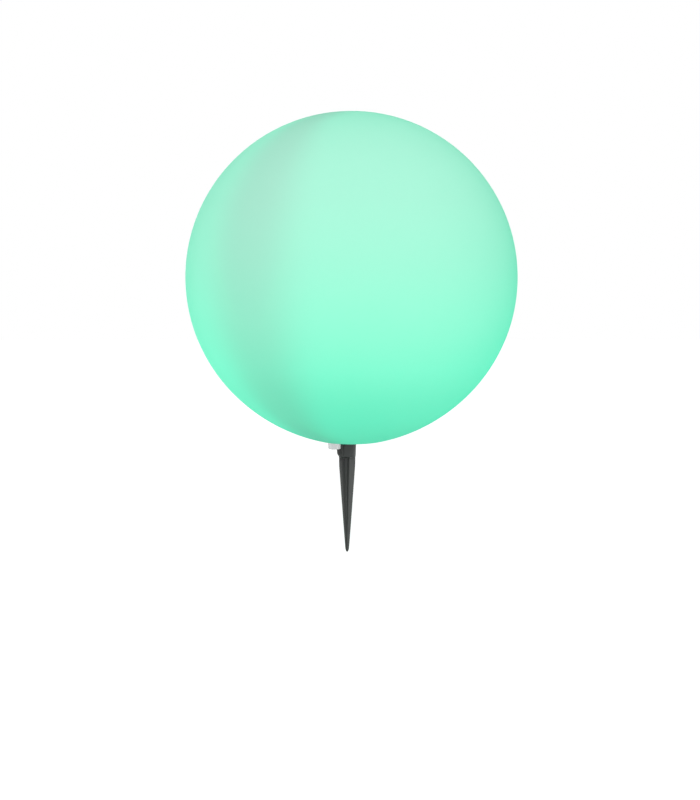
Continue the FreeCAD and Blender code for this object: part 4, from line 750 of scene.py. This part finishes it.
# Frosted polycarbonate: milky white, lets light through, with a satin blasted skin
frosted_polycarbonate = moulded("frosted_polycarbonate", "#F0F0EE", 0.5, 0.15, 0.01,
                                mottle=0.01, IOR=1.58, Transmission_Weight=0.35)
dress(frosted_polycarbonate, "diffuser_dome")
DOME_SCREW_CIRCLE = 0.032
screws("dome_screws", around(GLOBE_AXIS, DOME_SCREW_CIRCLE, (0.0, 120.0, 240.0)), *SMALL_SCREW,
       down=True)


# ---- Wires ------------------------------------------------------------------------------------
# Single wires in red silicone rubber: from the battery, the service board and the driver board.

# Extruded silicone: saturated red, satin, with faint lines along its length
silicone_sleeve = moulded("silicone_sleeve", "#B3211F", 0.4, 0.5, 0.004, mottle=0.05, IOR=1.43)
dress(silicone_sleeve, "battery_leads", "service_leads", "led_leads")


# ---- Globe -----------------------------------------------------------------------------------
# Rotomoulded ball of opal polyethylene, 400 mm across with a wall of 2.8 mm. Its foot is drawn
# down to a small flat rim, and a flange inside the rim takes the base cover.

GLOBE_LEVEL = 0.218515
GLOBE_RADIUS, GLOBE_WALL = 0.2, 0.0028
DRAWN_RADIUS, DRAWN_SHIFT = 0.212, 0.012 * sqrt(0.5)
RIM_OUTSIDE, RIM_INSIDE = 0.044, 0.0453
RIM_PROFILE = ((RIM_OUTSIDE, -0.196913), (0.0435, -0.19691), (0.0428, -0.19691),
               (0.0425, -0.1966), (0.0425, -0.19291), (0.0362, -0.19291),
               (0.0362, -0.18641), (RIM_INSIDE, -0.18641))
BALL_COLUMNS, BALL_ROWS = 288, 128
# Strength of the green light at the ball's foot and top and between them, by the share of its
# height, and how much blue goes with it
GLOW_FOOT, GLOW_TOP, GLOW_BLUE = 0.57, 0.52, 0.56
GLOW_BETWEEN = ((0.1, 0.69), (0.25, 0.75), (0.4, 0.68), (0.55, 0.59), (0.7, 0.53), (0.85, 0.51))
# Band of painted shade in the glow: its middle plane's normal, its reach, and the light's share
# there
SHADE_BAND_NORMAL, SHADE_BAND_REACH, SHADE_BAND_DIM = (0.834, -0.552, 0.0), 0.45, 0.77

# Opal polyethylene: milky, with no gloss at all, and it glows green all over from the light head in
# its foot, strongest low down and weakest near the top
opal_polyethylene, tree, shader = surface("opal_polyethylene", Base_Color=linear("#B4B5B5"),
                                          Roughness=0.7, IOR=1.51, Specular_IOR_Level=0.0,
                                          Emission_Strength=1.0)
place = add(tree, "ShaderNodeTexCoord").outputs["Object"]
about = add(tree, "ShaderNodeSeparateXYZ", (add(tree, "ShaderNodeMapping", {
    "Vector": place, "Location": (-GLOBE_AXIS, 0.0, -GLOBE_LEVEL)}),))
height = add(tree, "ShaderNodeMapRange", (
    about.outputs["Z"], -GLOBE_RADIUS, GLOBE_RADIUS, 0.0, 1.0))
glow = add(tree, "ShaderNodeValToRGB", (height,))
stops = glow.color_ramp.elements
for stop_height, share in GLOW_BETWEEN:
    stops.new(stop_height).color = (0.0, share, GLOW_BLUE * share, 1.0)
for stop, share in ((stops[0], GLOW_FOOT), (stops[-1], GLOW_TOP)):
    stop.color = (0.0, share, GLOW_BLUE * share, 1.0)
# Painted shade: the glow is dimmed in an upright band about a plane through the axis,
# which narrows towards the top and the foot but keeps one width near the axis
flat = add(tree, "ShaderNodeCombineXYZ", (about.outputs["X"], about.outputs["Y"]))
band_offset = add(tree, "ShaderNodeVectorMath", (flat, SHADE_BAND_NORMAL), operation="DOT_PRODUCT")
off_axis = add(tree, "ShaderNodeVectorMath", (flat,), operation="LENGTH")
spread = add(tree, "ShaderNodeMath", (off_axis.outputs["Value"], 0.5 * GLOBE_RADIUS),
             operation="MAXIMUM")
ratio = add(tree, "ShaderNodeMath", (band_offset.outputs["Value"], spread), operation="DIVIDE")
from_band_middle = add(tree, "ShaderNodeMath", (ratio,), operation="ABSOLUTE")
# Painted shade: the share of the glow that is left, lowest in the band's middle and full outside it
painted_shade_band = add(tree, "ShaderNodeMapRange", (from_band_middle, 0.0, SHADE_BAND_REACH, SHADE_BAND_DIM, 1.0),
            interpolation_type="SMOOTHERSTEP")
glow_with_painted_shade = add(tree, "ShaderNodeVectorMath", {0: glow, "Scale": painted_shade_band}, operation="SCALE")
tree.links.new(glow_with_painted_shade.outputs[0], shader.inputs["Emission Color"])
# Faint orange peel of the oven-moulded skin, 2.5 mm wide
peel = add(tree, "ShaderNodeTexNoise", {"Vector": place, "Scale": 1.0 / 0.0025, "Detail": 2.0})
skin = add(tree, "ShaderNodeBump", {"Height": peel, "Distance": 0.00003})
tree.links.new(skin.outputs["Normal"], shader.inputs["Normal"])

# The ball is turned from a rule: an arc about its centre, then a wider arc that meets it smoothly
ball, given = tree_of("turned_ball", Radius="Float", Drawn="Float", Shift="Float", Foot="Float",
                      Axis="Float", Level="Float", Material="Material")
sheet = add(ball, "GeometryNodeMeshGrid", {
    "Size X": 1.0, "Size Y": 1.0, "Vertices X": BALL_COLUMNS + 1, "Vertices Y": BALL_ROWS + 1})
spot = add(ball, "ShaderNodeSeparateXYZ", (add(ball, "GeometryNodeInputPosition"),))
turn = add(ball, "ShaderNodeMapRange", (spot.outputs["X"], -0.5, 0.5, 0.0, 2 * pi))
fall = add(ball, "ShaderNodeMapRange", (spot.outputs["Y"], -0.5, 0.5, pi, given["Foot"]))
drawn = add(ball, "ShaderNodeMath", (fall, pi / 4), operation="LESS_THAN")
arc = add(ball, "ShaderNodeMix", {"Factor": drawn, 2: given["Radius"], 3: given["Drawn"]})
shift = add(ball, "ShaderNodeMath", (drawn, given["Shift"]), operation="MULTIPLY")
back = add(ball, "ShaderNodeMath", (0.0, shift), operation="SUBTRACT")
reach = add(ball, "ShaderNodeMath", (
    arc, add(ball, "ShaderNodeMath", (fall,), operation="SINE"), back), operation="MULTIPLY_ADD")
drop = add(ball, "ShaderNodeMath", (
    arc, add(ball, "ShaderNodeMath", (fall,), operation="COSINE"), back), operation="MULTIPLY_ADD")
place = add(ball, "ShaderNodeCombineXYZ", (
    add(ball, "ShaderNodeMath", (
        reach, add(ball, "ShaderNodeMath", (turn,), operation="COSINE"), given["Axis"]),
        operation="MULTIPLY_ADD"),
    add(ball, "ShaderNodeMath", (reach, add(ball, "ShaderNodeMath", (turn,), operation="SINE")),
        operation="MULTIPLY"),
    add(ball, "ShaderNodeMath", (given["Level"], drop), operation="SUBTRACT")))
bent = add(ball, "GeometryNodeSetPosition", {"Geometry": sheet.outputs["Mesh"], "Position": place})
finished_tree(ball, bent, given["Material"])

globe = bmesh.new()
for wall, rim in ((0.0, RIM_OUTSIDE), (GLOBE_WALL, RIM_INSIDE)):
    foot = asin((rim + DRAWN_SHIFT) / (DRAWN_RADIUS - wall))
    layer = grown(ball, bpy.data.meshes.new("start"), Radius=GLOBE_RADIUS - wall,
                  Drawn=DRAWN_RADIUS - wall, Shift=DRAWN_SHIFT, Foot=foot, Axis=GLOBE_AXIS,
                  Level=GLOBE_LEVEL, Material=opal_polyethylene)
    if wall:
        bmesh.ops.reverse_faces(layer, faces=layer.faces)
    layer_mesh = bpy.data.meshes.new("layer")
    layer.to_mesh(layer_mesh)
    globe.from_mesh(layer_mesh)
turned(globe, [(r, z + GLOBE_LEVEL) for r, z in RIM_PROFILE], BALL_COLUMNS,
       centre=(GLOBE_AXIS, 0.0))
kept(globe, "globe_ball", opal_polyethylene, "lamp", ["globe_shell"])


# ---- Stage, lamps and camera ----------------------------------------------------------------
# A pale floor under the spike's tip that melts into a white surround, and the photograph's level
# camera. A soft lamp stands high in front and one at each side, and a small one at the right
# shows only in gloss, for the light line on the spike's edges.

FLOOR_HALF, FLOOR_LEVEL = 4.0, -0.1176
# From the object outwards the floor brightens to white between these distances
FADE_NEAR, FADE_FAR, FADE_START = 0.3, 1.2, 0.9


def seen_plainly(tree):
    """1 where the camera looks or metal and glass mirror, and 0 for the light on the object."""
    ray = add(tree, "ShaderNodeLightPath")
    mirrored = add(tree, "ShaderNodeMath", (
        ray.outputs["Is Glossy Ray"], ray.outputs["Is Transmission Ray"]), operation="MAXIMUM")
    return add(tree, "ShaderNodeMath", (ray.outputs["Is Camera Ray"], mirrored),
               operation="MAXIMUM")


floor_mesh = bpy.data.meshes.new("floor")
floor_mesh.from_pydata([(x * FLOOR_HALF, y * FLOOR_HALF, FLOOR_LEVEL) for x, y in (
    (-1, -1), (1, -1), (1, 1), (-1, 1))], [], [(0, 1, 2, 3)])
floor = bpy.data.objects.new("floor", floor_mesh)
bpy.context.scene.collection.objects.link(floor)
pale_floor, tree, shader = surface("pale_floor", Base_Color=linear("#A7A7A7"), Roughness=0.9,
                                   Emission_Color=linear("#FFFFFF"))
away = add(tree, "ShaderNodeVectorMath", (add(tree, "ShaderNodeTexCoord").outputs["Object"],),
           operation="LENGTH")
far = add(tree, "ShaderNodeMapRange", (
    away.outputs["Value"], FADE_NEAR, FADE_FAR, FADE_START, 1.0))
shine = add(tree, "ShaderNodeMath", (seen_plainly(tree), far), operation="MULTIPLY")
tree.links.new(shine.outputs[0], shader.inputs["Emission Strength"])
floor_mesh.materials.append(pale_floor)

world = bpy.data.worlds.new("surround")
bpy.context.scene.world = world
world.use_nodes = True
tree = world.node_tree
back = tree.nodes["Background"]
back.inputs["Color"].default_value = linear("#FFFFFF")
tree.links.new(seen_plainly(tree).outputs[0], back.inputs["Strength"])

LAMP_DISTANCE, CAMERA_DISTANCE = 2.4, 1.2


def soft_lamp(name, azimuth, rise, watts, size=1.2, in_gloss=True, in_colour=True):
    """A soft box that the camera doesn't see, aimed at the globe from a direction in degrees."""
    lamp = bpy.data.lights.new(name, "AREA")
    lamp.size, lamp.energy = size, watts
    holder = bpy.data.objects.new(name, lamp)
    bpy.context.scene.collection.objects.link(holder)
    a, e = radians(azimuth), radians(rise)
    towards = Vector((sin(a) * cos(e), -cos(a) * cos(e), sin(e)))
    holder.location = Vector((GLOBE_AXIS, 0.0, GLOBE_LEVEL)) + towards * LAMP_DISTANCE
    holder.rotation_euler = (-towards).to_track_quat("-Z", "Y").to_euler()
    holder.visible_camera = False
    holder.visible_glossy, holder.visible_diffuse = in_gloss, in_colour


soft_lamp("key_lamp", 0.0, 40.0, 35.4)
soft_lamp("left_lamp", -80.0, 0.0, 25.5, in_gloss=False)
soft_lamp("right_lamp", 50.0, 20.0, 14.0)
soft_lamp("edge_lamp", 56.0, 21.0, 170.0, size=0.5, in_colour=False)

camera_data = bpy.data.cameras.new("camera")
camera_data.lens = 44.235
camera_data.sensor_width = 36.0
camera_data.shift_x, camera_data.shift_y = -0.0019, -0.15375
camera = bpy.data.objects.new("camera", camera_data)
bpy.context.scene.collection.objects.link(camera)
camera.location = (GLOBE_AXIS, -CAMERA_DISTANCE, GLOBE_LEVEL)
camera.rotation_euler = (pi / 2, 0.0, 0.0)
bpy.context.scene.camera = camera
bpy.context.scene.view_settings.view_transform = "Standard"
